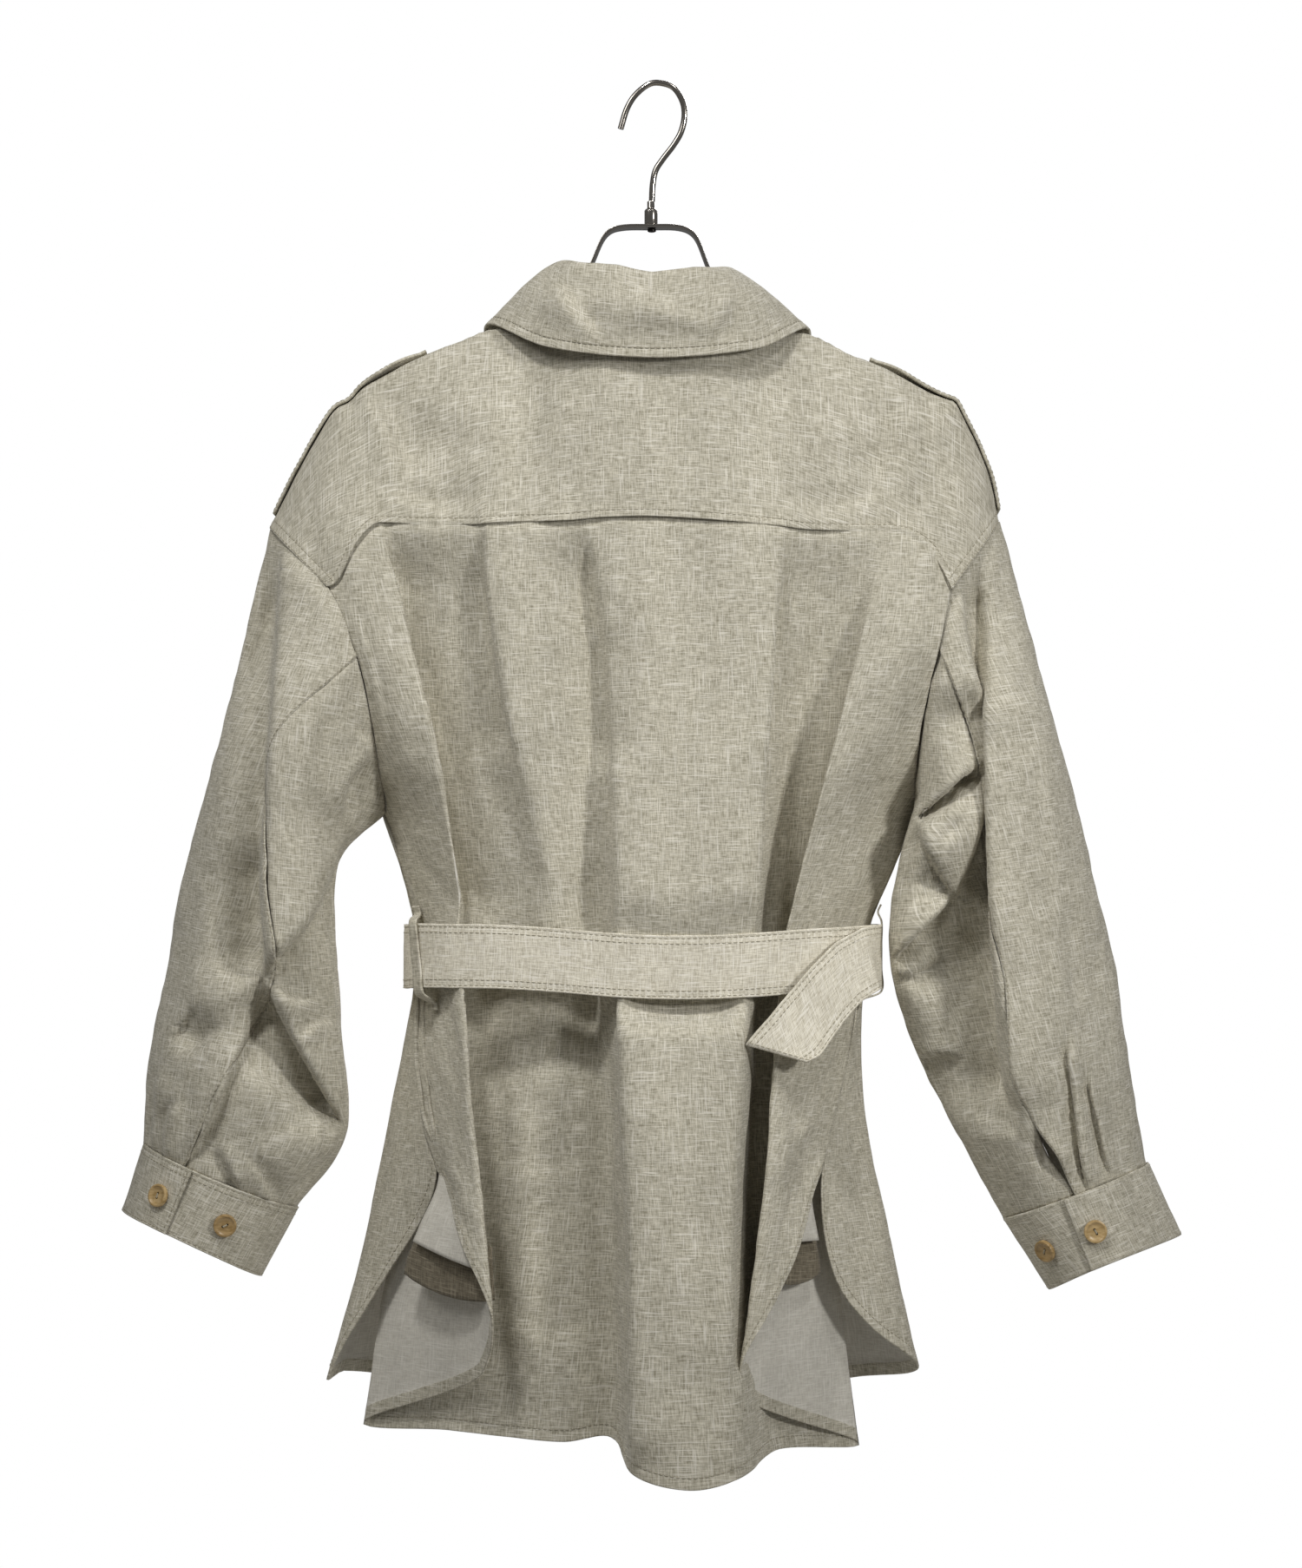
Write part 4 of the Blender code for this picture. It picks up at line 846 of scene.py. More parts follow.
def lipLine(path):
    # a path on the back's left edge, laid on its cloth
    line = smoothPath(seen(path), 50)
    columns = np.linspace(0, 3, 61)
    depth = []
    for x, z in line:
        edge = backAt(columns, np.full(columns.shape, z))
        edge = edge + folded(edge, backBody["creases"], columns)
        depth.append(np.interp(x, edge[:, 0], edge[:, 1]))
    return place(np.stack([line[:, 0], np.array(depth) - 1.0, line[:, 1]], axis=1))


lips = []
for number, (path, thick) in enumerate(backBody["lips"], 1):
    lips.append(rollEdge(f"pocketLip{number}", lipLine(path), thick, linen))
finishPanel("backCloth", "back_body", (("hem", shirtHem["stitches"]),), lips)


# yoke
yoke = {
    "over": (
        # place on the back seam, shoulder ridge or rise to the neck x y z, front or neck edge x y z, turn
        (0.0, (-250, 4, -290), (-221, 38, -324), 1.0),
        (1.0, (-233, 2, -256), (-208, 33, -287), 1.0),
        (2.0, (-214, 0, -222), (-194, 28, -254), 1.0),
        (4.0, (-196, 0, -206), (-181, 26, -236), 1.0),
        (5.3, (-180, 0, -193), (-167, 25, -220), 1.0),
        (6.5, (-131, 0, -170), (-125, 24, -194), 1.0),
        (7.6, (-86, -8, -163), (-79, 6, -156), 0.3),
        (8.2, (-53, -33, -190), (-51, -24, -152), 0.0),
        (9.6, (1, -42, -190), (1, -34, -150), 0.0),
        (10.5, (54, -33, -190), (52, -24, -152), 0.0),
        (10.9, (87, -8, -164), (80, 6, -157), 0.3),
        (11.6, (134, 0, -178), (131, 24, -201), 1.0),
        (12.6, (178, 0, -199), (168, 25, -226), 1.0),
        (15.0, (206, 0, -220), (191, 28, -255), 1.0),
        (16.0, (221, 2, -254), (202, 33, -288), 1.0),
        (17.0, (228, 4, -286), (211, 38, -323), 1.0),
    ),
    "ridgeTurn": (20.0, 12.0),
    "ridge": 0.7,  # share of the way over that lies behind the shoulder ridge
    "cut": {"span": (0.0, 17.0), "step": 3.2, "seed": 21, "spot": (0.5, 0.2), "rippleSize": (0.3, 0.7)},
    "seams": (("top", 5.6, 0.55), ("start", 7.4, 0.5), ("end", 7.4, 0.5)),
    "stitches": (("top", 4.6), ("start", 1.4), ("start", 6.6), ("end", 1.4), ("end", 6.6)),
    "creases": (
        ("shoulder_l", ((418, 446), (446, 490), (464, 560)), 4, 14, -6, 22, 5, 0),
        ("shoulder_r", ((1046, 456), (1030, 506), (1020, 570)), -5, 22, 4, 14, 5, 0),
        ("blade_l", ((510, 462), (502, 530), (494, 660)), -6, 28, -6, 36, 10, 0),
        ("blade_r", ((1036, 478), (1046, 540), (1056, 680)), -6, 40, -6, 22, 10, 0),
        ("blade_mid", ((640, 420), (626, 500), (622, 640)), -3, 26, 2, 22, 8, 0),
        ("collar_pull", ((690, 430), (668, 480), (655, 545)), 1.6, 18, -1.6, 18, 8, 0),
        ("across_l", ((440, 560), (500, 585), (570, 575)), 3, 14, -3, 12, 5, 0),
        ("across_r", ((1030, 560), (960, 588), (890, 575)), -3, 12, 3, 14, 5, 0),
    ),
}


def yokeAt(s, v):
    # point on the yoke: v runs from the back seam over the shoulder to its front or neck edge
    spots = [row[0] for row in yoke["over"]]
    ridge = through(spots, [row[1] for row in yoke["over"]], s)
    end = through(spots, [row[2] for row in yoke["over"]], s)
    turn = through(spots, [row[3] for row in yoke["over"]], s)[..., None]
    seam = backAt(s, backEdgeHeight(s, 0) + cloth["gap"])
    turn = np.clip(turn, 0, 1)
    backBend = turn * (ridge + np.array([0, -yoke["ridgeTurn"][0], -2.0]))
    backBend = backBend + (1 - turn) * ((seam + ridge) / 2 + np.array([0, -3.0, 0]))
    frontBend = turn * (ridge + np.array([0, yoke["ridgeTurn"][1], -1.0])) + (1 - turn) * (ridge + end) / 2
    top = yoke["ridge"]
    rise = np.clip(v / top, 0, 1)[..., None]
    fall = np.clip((v - top) / (1 - top), 0, 1)[..., None]
    up = (1 - rise) ** 2 * seam + 2 * rise * (1 - rise) * backBend + rise**2 * ridge
    over = (1 - fall) ** 2 * ridge + 2 * fall * (1 - fall) * frontBend + fall**2 * end
    return np.where(v[..., None] <= top, up, over)


def yokeShape(s, v):
    points = yokeAt(s, v)
    facing = smoothStep((yoke["ridge"] - v) / 0.2)
    return place(points + folded(points, yoke["creases"]) * facing[..., None])


makePanel("yokeCloth", lambda s, v: place(yokeAt(s, v)), towards=toBack, shape=yokeShape,
          marks={"top": edgeMarks["yokeSeam"], "side": edgeMarks["armhole"]}, edges=yoke["seams"],
          grain=lambda points: weaveUv(points, level=True), **yoke["cut"])
finishPanel("yokeCloth", "yoke", yoke["stitches"])
print("back and yoke ready")


# collar
collar = {
    "lines": (
        # name, neck x y z, fold x y z, edge x y z
        ("front_l", (14, 53, -207), (-14, 56, -179), (-58, 66, -236)),
        ("near_l", (-62, 44, -183), (-55, 34, -140), (-96, 48, -196)),
        ("side_l", (-79, 6, -156), (-59, 2, -117), (-108, 8, -157)),
        ("back_l", (-51, -24, -152), (-42, -28, -116), (-68, -35, -171)),
        ("back", (1, -34, -150), (1, -38, -120), (1, -50, -178)),
        ("back_r", (52, -24, -152), (38, -28, -119), (70, -35, -172)),
        ("side_r", (80, 6, -157), (51, 2, -121), (103, 8, -160)),
        ("near_r", (62, 44, -183), (52, 34, -142), (94, 48, -197)),
        ("front_r", (-14, 55, -207), (10, 56, -179), (56, 66, -236)),
    ),
    "middle": (-3.0, 14.0, 0.0),
    "roll": 9.0,
    "rollRise": 3.0,
    "standGaps": (1.4, 2.6),
    "standCut": {"span": (0.0, 8.0), "step": 2.8, "seed": 81},
    "fallCut": {"span": (0.0, 8.0), "step": 2.6, "seed": 82, "rippleSize": (0.25, 0.5)},
    "fallSeam": (6.8, 0.3),
    "fallStitches": 6.2,
    "dips": (
        # x, height of the fold above its line
        (-60, 0), (-40, -0.6), (-22, 0.2), (-11, -1.6), (1, -3.2), (12, -2.0), (28, -0.4),
        (40, -1.2), (55, 0),
    ),
    "creases": (
        ("diagonal", ((636, 320), (662, 356), (694, 394)), 3, 12, -5, 22, 2.5, 0),
        ("middle", ((720, 330), (770, 352), (830, 372)), 2.5, 12, -3.5, 14, 4, 0),
        ("right", ((850, 332), (835, 365), (826, 396)), 2, 12, -2, 12, 4, 0),
        ("roll", ((590, 338), (670, 350), (750, 355), (830, 350), (910, 338)), 5, 15, 5, 12, 6, 0),
    ),
}


def neckAt(w, which):
    # neck seam, fold and edge lines of the collar from front to front
    line = np.array([row[which] for row in collar["lines"]], float)
    return across(np.broadcast_to(line, w.shape + line.shape), w)


# fronts
fronts = {
    "levels": (-250, -411, -574, -673, -770, -850),
    "left": (
        # column, x at each level, y at each level
        ("turn", (-194, -166, -152, -171, -191, -213), (31, 45, 22, 8, 5, 0)),
        ("side", (-128, -124, -112, -138, -150, -165), (41, 50, 50, 45, 50, 55)),
        ("mid", (-64, -62, -60, -70, -75, -80), (49, 54, 58, 60, 66, 72)),
        ("edge", (15, 17, 17, 17, 17, 17), (55, 57, 63, 65, 71, 77)),
    ),
    "right": (
        ("turn", (192, 164, 138, 140, 160, 178), (31, 45, 22, 6, 2, 0)),
        ("side", (130, 124, 106, 115, 125, 136), (41, 50, 50, 45, 50, 55)),
        ("mid", (64, 62, 58, 62, 68, 72), (49, 54, 58, 60, 66, 72)),
        ("edge", (-15, -17, -17, -17, -17, -17), (55, 57, 63, 65, 71, 77)),
    ),
    "hems": (
        # column place and z, left and right
        ((0, -711), (0.53, -770), (0.8, -816), (1, -844), (1.4, -843), (2, -846), (3, -852), (4, -856)),
        ((0, -713), (0.2, -772), (0.47, -810), (0.77, -830), (1, -838), (2, -847), (3, -852), (4, -856)),
    ),
    "slit": ((-770, -128, 105, -48), (-850, -110, 98, -54)),
    "underlap": {"deep": 3.6, "start": -70.0, "long": 48.0},
    "seamGap": 2.0,
    "ease": 60.0,
    "underYoke": ((0.0, 2.0, 6.2, 7.6, 7.6), (17.0, 15.0, 11.8, 10.9, 10.9)),  # columns' places on the yoke
    "cut": {"span": (0.0, 4.0), "step": 3.6, "spot": (0.7, 0.4), "rippleSize": (0.3, 0.8)},
    "stitches": (("hem", shirtHem["stitches"]), ("end", 2.0)),
    "placket": {"top": 0.03, "lift": 1.65, "middle": 3.81},
    "placketCut": {"span": (3.62, 4.0), "step": 3.2, "seed": 35, "rippleSize": (0.1, 0.0)},
    "placketStitches": (("start", 1.6), ("end", 1.6)),
    "buttonHeights": (-250, -325, -400, -475, -640, -715),
    "slitBow": {"in": 10.0, "z": -775.0, "tall": 46.0, "wide": 0.45},
    "creases": (
        ("chest_l", ((620, 520), (600, 640), (590, 780)), 2.5, 22, -3, 24, 8, 0),
        ("pull_l", ((560, 900), (580, 980), (590, 1050)), 4, 16, -4, 14, 5, 0),
        ("pull_l2", ((640, 930), (650, 1000), (655, 1056)), 3, 14, -4, 14, 5, 0),
        ("hang_l", ((560, 1160), (540, 1320), (520, 1500)), 4, 22, -5, 24, 6, 0),
        ("hang_l2", ((650, 1160), (640, 1330), (630, 1540)), 3, 22, -4, 22, 7, 0),
        ("chest_r", ((880, 540), (905, 660), (915, 800)), -3, 24, 2.5, 22, 8, 0),
        ("pull_r", ((935, 890), (915, 980), (905, 1050)), -4, 14, 4, 16, 5, 0),
        ("hang_r", ((930, 1160), (950, 1320), (975, 1480)), -5, 24, 4, 22, 6, 0),
        ("hang_r2", ((850, 1160), (858, 1340), (870, 1540)), -4, 22, 3, 22, 7, 0),
    ),
}


def frontTop(side, f):
    # upper edge of a front: under the yoke to the neck, then down the neckline
    places = fronts["underYoke"][side]
    yokeS = np.clip(through(range(len(places)), places, f), min(places), max(places))
    underYoke = yokeAt(yokeS, np.ones(f.shape))
    ahead = np.clip(f - 3, 0, 1)
    w = 2 - 2 * ahead if side == 0 else 6 + 2 * ahead
    return np.where((f <= 3)[..., None], underYoke, neckAt(w, 1))


def frontAt(side, f, z):
    rows = fronts[sideWords[side]]
    xs = np.array([row[1] for row in rows], float).T
    ys = np.array([row[2] for row in rows], float).T
    columns = np.stack([through(fronts["levels"], xs, z), through(fronts["levels"], ys, z)], axis=-1)
    edge = edgeAt(side, fronts["slit"], frontEdgeNames, z)[..., None, :]
    xy = across(np.concatenate([edge, columns], axis=-2), f)
    y = cinch(xy[..., 0], xy[..., 1], z)
    return np.stack([xy[..., 0], y, z], axis=-1)


def underlap(x):
    # the left front steps back where the right one lies over it
    lap = fronts["underlap"]
    return lap["deep"] * np.clip((x - lap["start"]) / lap["long"], 0, 1)


def frontSeen(side, f, t):
    hem = through(*zip(*fronts["hems"][side]), f)
    top = frontTop(side, f)
    down = top[..., 2] - fronts["seamGap"]
    z = down + (hem - down) * t
    nearTop = np.clip(1 - (down - z) / np.maximum(down - fronts["levels"][1], fronts["ease"]), 0, 1)
    shift = top - frontAt(side, f, down)
    shift[..., 2] = 0
    points = frontAt(side, f, z) + shift * (nearTop**2)[..., None]
    if side == 0:
        points[..., 1] -= underlap(points[..., 0])
    return points


def frontSurface(side, f, t):
    return place(frontSeen(side, f, t))


def frontShape(side, f, t):
    points = frontSeen(side, f, t)
    if side == 0:
        # the left slit's edge bows in before it flares to the hem
        bow = fronts["slitBow"]
        off = ((points[..., 2] - bow["z"]) / bow["tall"]) ** 2 + (f / bow["wide"]) ** 2
        points[..., 0] += bow["in"] * np.exp(-off)
    hold = smoothStep((f - 0.2) / 0.5) * smoothStep((3.3 - f) / 0.6)
    return place(points - folded(points, fronts["creases"]) * hold[..., None])


for side, word in enumerate(sideWords):
    name = "front" + word.capitalize() + "Cloth"
    makePanel(name, lambda f, t: frontSurface(side, f, t), towards=toFront, seed=31 + side,
              shape=lambda f, t: frontShape(side, f, t), marks={"end": edgeMarks["hem"]},
              hemEdge=shirtHem["turned"], edges=(("hem", shirtHem["wide"], shirtHem["rise"]),),
              grain=weaveUv, **fronts["cut"])
    finishPanel(name, "front_" + word, fronts["stitches"])


def placketSurface(f, t):
    # strip on the right front, from a little below its neck to the hem
    top = fronts["placket"]["top"]
    return offGrid(frontSurface(1, f, top + (1 - top) * t), fronts["placket"]["lift"])


makePanel("placketCloth", placketSurface, towards=toFront, **fronts["placketCut"])
finishPanel("placketCloth", "placket", fronts["placketStitches"])
print("fronts ready")


# sleeves and cuffs
sleeves = {
    "left": (
        # way down the sleeve, outer x z, back x z y, inner x z y, front x z y, back seam
        (0.27, (-276, -405), (-240, -450, -62), (-206, -512, 4), (-238, -452, 56), 2.15),
        (0.45, (-297, -480), (-248, -515, -64), (-208, -560, 4), (-250, -515, 56), 2.5),
        (0.64, (-315, -560), (-256, -584, -58), (-204, -611, 4), (-260, -586, 56), 2.75),
        (0.85, (-330, -650), (-266, -668, -60), (-202, -690, 2), (-266, -668, 52), 1.95),
        (1.0, (-332, -695), (-284, -720, -46), (-233, -736, 0), (-283, -714, 36), 1.76),
    ),
    "right": (
        (0.27, (260, -405), (218, -450, -62), (165, -506, -17), (216, -452, 54), 2.64),
        (0.45, (282, -480), (222, -515, -62), (157, -560, -14), (222, -515, 54), 2.53),
        (0.64, (300, -560), (232, -584, -58), (165, -611, -6), (230, -584, 54), 2.42),
        (0.85, (315, -650), (258, -668, -58), (199, -684, 0), (258, -668, 52), 2.8),
        (1.0, (326, -708), (281, -728, -46), (233, -743, 0), (281, -722, 36), 2.58),
    ),
    "frontSeam": 7.2,
    "seamTop": 2.2,
    "end": 0.999,
    "lean": (-9, 9),  # of the threads, in degrees
    "cut": {"span": (0.0, 1.0), "step": 2.5, "rippleSize": (0.5, 1.5)},
    "parts": (
        # name, spot that faces the back, seams, stitches
        ("top", (0.93, 0.4), (("end", 6.0, 0.45),), (("end", 1.4),)),
        ("under", (0.1, 0.4), (), ()),
    ),
    "creases": (
        # name, start x z, middle x z, end x z, press, soft width left, soft width right
        ("fall_l", (-248, -310), (-254, -460), (-256, -580), 11, 24, 5),
        ("elbow_l", (-206, -512), (-226, -552), (-256, -590), 8, 5, 20),
        ("wrist_l", (-252, -592), (-232, -632), (-206, -678), 9, 24, 6),
        ("fall_r", (212, -320), (216, -430), (218, -480), 12, 18, 5),
        ("drop_r", (220, -500), (227, -590), (238, -670), 22, 50, 4),
        ("armpit_r", (176, -482), (190, -466), (210, -452), 8, 8, 8),
    ),
    "slit": {"start": 0.875, "lip": 6.0, "slip": 3.0, "sunk": 7.0, "wide": 9.0},
    # by side, on the half seen from the back and on the other
    "folds": {
        0: (
            ("fall", ((330, 606), (326, 660), (321, 740), (315, 800), (311, 850), (307, 950), (306, 1050),
                      (308, 1140)), -13, 26, 6, 46, 1.8, 4),
            ("fall_low", ((307, 960), (304, 1060), (300, 1150)), -9, 34, 0, 8, 2, 0),
            ("elbow", ((404, 950), (385, 990), (366, 1038), (332, 1088), (300, 1132)),
             9, 24, -15, 32, 1.4, 4),
            ("wrist", ((300, 1118), (318, 1150), (345, 1200), (375, 1254), (400, 1304)),
             -22, 44, 7, 34, 1.4, 4),
            ("wrist_low", ((262, 1212), (300, 1240), (340, 1265), (388, 1297)), 6, 26, -4, 20, 4, 0),
            ("underarm", ((408, 826), (414, 842), (423, 851), (428, 865), (415, 882), (404, 895), (399, 909),
                          (395, 950)), 4, 12, -12, 12, 1.4, 2),
            ("under_2", ((372, 800), (366, 860), (380, 930)), 3, 14, -3, 14, 4, 0),
            ("nick_1", ((318, 1128), (338, 1148), (368, 1152)), 3, 9, -5, 9, 1.6, 1),
            ("nick_2", ((392, 1176), (366, 1180), (350, 1196)), -4, 8, 3, 10, 2, 1),
            ("pleat_1", ((184, 1222), (180, 1280), (176, 1336)), -6, 7, 4, 9, 1.2, 2),
            ("pleat_2", ((204, 1262), (194, 1300), (190, 1346)), -6, 8, 4, 9, 1.2, 2),
            ("dent", ((206, 1172), (226, 1186), (240, 1206)), -12, 15, -9, 13, 4, 0),
            ("outer_1", ((262, 700), (246, 820), (228, 940)), -3, 16, 2, 18, 6, 0),
            ("outer_2", ((240, 1010), (222, 1100), (208, 1200)), -4, 16, 3, 20, 5, 0),
            ("seam_side", ((306, 1134), (288, 1178), (270, 1219), (240, 1290), (210, 1346)),
             3, 14, -9, 16, 1.3, 2),
            ("gather_1", ((250, 1316), (262, 1342), (280, 1378)), -5, 8, 3, 9, 1.8, 1),
            ("gather_2", ((284, 1330), (300, 1356), (318, 1390)), 3, 9, -4, 8, 2, 1),
            ("low", ((396, 1318), (362, 1338), (330, 1376)), 5, 16, -5, 12, 3, 1),
        ),
        1: (
            ("fall", ((1137, 780), (1138, 830), (1139, 870), (1140, 950), (1145, 1030), (1150, 1100),
                      (1154, 1200), (1168, 1290)), -18, 44, 6, 40, 1.6, 5),
            ("fall_top", ((1140, 600), (1139, 680), (1138, 760), (1139, 860)), -2, 30, 4, 40, 4, 0),
            ("bulge", ((1103, 640), (1105, 664), (1109, 716), (1117, 765), (1127, 800), (1134, 829),
                       (1136, 869), (1134, 924), (1128, 956), (1096, 1040)), 8, 34, -12, 24, 1.4, 3),
            ("armpit", ((1134, 876), (1106, 890), (1082, 914), (1050, 946)), 8, 18, -13, 10, 1.4, 5),
            ("facet_1", ((1052, 936), (1074, 984), (1104, 1040)), -12, 26, 6, 18, 1.4, 3),
            ("facet_2", ((1110, 1016), (1062, 1064), (1012, 1116)), 7, 14, -14, 44, 1.4, 4),
            ("fist", ((1110, 940), (1098, 962), (1080, 972)), -4, 9, 3, 10, 3, 0),
            ("hand", ((1018, 1122), (1050, 1120), (1090, 1096)), -4, 10, 4, 12, 2, 1),
            ("low", ((1050, 1226), (1080, 1214), (1112, 1220)), -5, 10, 3, 10, 2, 1),
            ("low_2", ((1120, 1120), (1100, 1200), (1112, 1290)), -3, 16, 2, 16, 6, 0),
            ("pleat_1", ((1228, 1180), (1242, 1280), (1256, 1386)), -8, 8, 5, 11, 1.2, 3),
            ("pleat_2", ((1252, 1220), (1270, 1300), (1284, 1368)), -8, 8, 5, 11, 1.2, 3),
            ("outer_1", ((1186, 800), (1206, 940), (1216, 1080)), -3, 18, 2, 20, 6, 0),
            ("outer_2", ((1224, 1020), (1228, 1110), (1240, 1180)), 3, 16, -4, 14, 4, 0),
            ("outer_3", ((1262, 1060), (1276, 1150), (1288, 1230)), -3, 14, 2, 14, 6, 0),
        ),
    },
    "farFolds": {
        0: (
            ("fall", ((300, 660), (290, 800), (276, 950)), 4, 24, -6, 24, 5, 0),
            ("bend", ((200, 1040), (260, 1075), (340, 1060)), 4, 14, -6, 16, 4, 0),
            ("bend_2", ((196, 1120), (250, 1150), (330, 1130)), 3, 14, -5, 14, 4, 0),
            ("low", ((230, 1200), (240, 1270), (230, 1340)), 3, 14, -4, 14, 4, 0),
            ("pit", ((400, 860), (370, 900), (340, 960)), 3, 14, -5, 14, 4, 0),
        ),
        1: (
            ("fall", ((1180, 660), (1196, 800), (1206, 950)), -6, 24, 4, 24, 5, 0),
            ("bend", ((1280, 1080), (1210, 1110), (1110, 1080)), -6, 16, 4, 14, 4, 0),
            ("bend_2", ((1290, 1170), (1220, 1200), (1130, 1180)), -5, 14, 3, 14, 4, 0),
            ("low", ((1236, 1240), (1230, 1300), (1250, 1370)), 3, 14, -4, 14, 4, 0),
            ("pit", ((1090, 900), (1130, 950), (1160, 1010)), 3, 14, -5, 14, 4, 0),
        ),
    },
}
cuffs = {
    "left": ((-346, -738), (-303, -761, -45), (-257, -780, 0), (-301, -753, 34)),
    "right": ((347, -754), (298, -774, -45), (262, -789, 0), (297, -768, 34)),
    "opening": (1.96, 2.81),
    "overlap": 0.7,
    "lap": {"out": 0.7, "over": 2.6, "start": 8.2},
    "cut": {"step": 2.4, "spot": (0.3, 0.5), "rippleSize": (0.2, 0.4)},
    "seam": (3.0, 0.2),
    "stitches": (("top", 1.8), ("top", 5.2), ("hem", 1.8), ("end", 1.8)),
    "buttons": (
        # name, side, way round, stands on the upper end
        ("button_cuff_left_1", 0, 1.55, 1),
        ("button_cuff_left_2", 0, 2.96, 0),
        ("button_cuff_right_1", 1, 2.45, 1),
        ("button_cuff_right_2", 1, 3.7, 0),
    ),
}


def ringAt(row, c):
    # closed ring through the outer, back, inner and front points of a sleeve
    (ox, oz), (bx, bz, by), (ix, iz, iy), (fx, fz, fy) = row
    outer, inner = np.array([ox, 4.0, oz]), np.array([ix, iy, iz])
    back, front = np.array([bx, by, bz]), np.array([fx, fy, fz])
    turn = (c * 2 * math.pi / len(armhole))[..., None]
    middle = (outer + back + inner + front) / 4
    return (
        middle + (outer - inner) / 2 * np.cos(turn) + (back - front) / 2 * np.sin(turn)
        + (outer + inner - back - front) / 4 * np.cos(2 * turn)
    )


def armholeAt(side, c):
    loop = np.array([(row[1 + 2 * side], row[5], row[2 + 2 * side]) for row in armhole], float)
    loop = np.concatenate([loop[-2:], loop, loop[:3]])
    return across(np.broadcast_to(loop, c.shape + loop.shape), np.mod(c, len(armhole)) + 2)


def crease(points):
    # press the large creases into the side seen from the back
    x, y, z = points[..., 0], points[..., 1].copy(), points[..., 2]
    behind = np.clip((4 - y) / 24, 0, 1)
    for _, start, middle, end, press, left, right in sleeves["creases"]:
        rows = np.array([start, middle, end], float)
        along = np.clip((z - rows[0, 1]) / (rows[2, 1] - rows[0, 1]), -0.3, 1.3)
        mid = (rows[1, 1] - rows[0, 1]) / (rows[2, 1] - rows[0, 1])
        line = through((0, mid, 1), rows[:, 0], np.clip(along, 0, 1))
        off = x - line
        shape = np.where(off < 0, np.exp(-((off / left) ** 2)), np.exp(-((off / right) ** 2)))
        fade = np.clip(np.minimum(along + 0.12, 1.12 - along) / 0.24, 0, 1)
        ownSide = (x < 0) == (rows[1, 0] < 0)
        y = y + press * shape * fade * behind * ownSide
    return np.stack([x, y, z], axis=-1)


def sleeveAt(side, c, t):
    # point on a sleeve at place c round it and t down it, from armhole to cuff
    rows = sleeves[sideWords[side]]
    rings = [armholeAt(side, c)] + [ringAt(row[1:5], c) for row in rows]
    flat = np.stack(rings, axis=-2)
    st = np.array([0.0] + [row[0] for row in rows])
    slope = np.gradient(flat, st, axis=-2)
    k = np.clip(np.searchsorted(st, t) - 1, 0, len(st) - 2)
    span = (st[k + 1] - st[k])[..., None]
    u = (t - st[k])[..., None] / span

    def at(block, index):
        return np.take_along_axis(block, index[..., None, None], axis=-2)[..., 0, :]

    return crease(hermite(u, at(flat, k), at(flat, k + 1), at(slope, k) * span, at(slope, k + 1) * span))


def sleeveSeam(side, t):
    rows = sleeves[sideWords[side]]
    return through([0.0] + [row[0] for row in rows], [sleeves["seamTop"]] + [row[5] for row in rows], t)


def cuffAt(side, c, t, out):
    rows = sleeves[sideWords[side]]
    top = ringAt(rows[-1][1:5], c)
    low = ringAt(cuffs[sideWords[side]], c)
    away = unit(top - ringAt(rows[-1][1:5], c + len(armhole) / 2))
    return top + (low - top) * t[..., None] + away * out[..., None]


def cuffSurface(side, c, t):
    # one end of the cuff lies over the other
    lap = cuffs["lap"]
    over = smoothStep(c - cuffs["opening"][side] - lap["start"])
    return place(cuffAt(side, c, t, lap["out"] + lap["over"] * over))


def sleevePlace(side, part, k, t):
    seam = sleeveSeam(side, t)
    if part == "top":
        start, stop = sleeves["frontSeam"] - len(armhole), seam
    else:
        start, stop = seam, sleeves["frontSeam"]
    return start + (stop - start) * k


def sleeveSurface(side, part, k, t):
    return place(sleeveAt(side, sleevePlace(side, part, k, t), sleeves["end"] * t))


def sleeveShape(side, part, k, t):
    c = sleevePlace(side, part, k, t)
    points = sleeveAt(side, c, sleeves["end"] * t)
    facing = np.sin(c * 2 * math.pi / len(armhole))
    near = smoothStep((facing + 0.05) / 0.5)
    far = smoothStep((-0.1 - facing) / 0.5) * smoothStep(t / 0.1)
    move = folded(points, sleeves["folds"][side])
    near = near * smoothStep(t / np.where(move[..., 1] < 0, 0.03, 0.1))  # sewn in all round the armhole
    points = points + move * near[..., None] - folded(points, sleeves["farFolds"][side]) * far[..., None]
    if side == 1:
        # the cuff's slit stands open below the end of the back seam
        slit = sleeves["slit"]
        opened = smoothStep((t - slit["start"]) / 0.06) * smoothStep((0.99 - t) / 0.06)
        edge = points[-1:] if part == "top" else points[:1]
        beside = opened * np.exp(-((np.linalg.norm(points - edge, axis=-1) / slit["wide"]) ** 2))
        if part == "top":
            points = points + beside[..., None] * np.array([slit["slip"], -slit["lip"], 0])
        else:
            points = points + beside[..., None] * np.array([-slit["slip"], slit["sunk"], 0])
    return place(points)


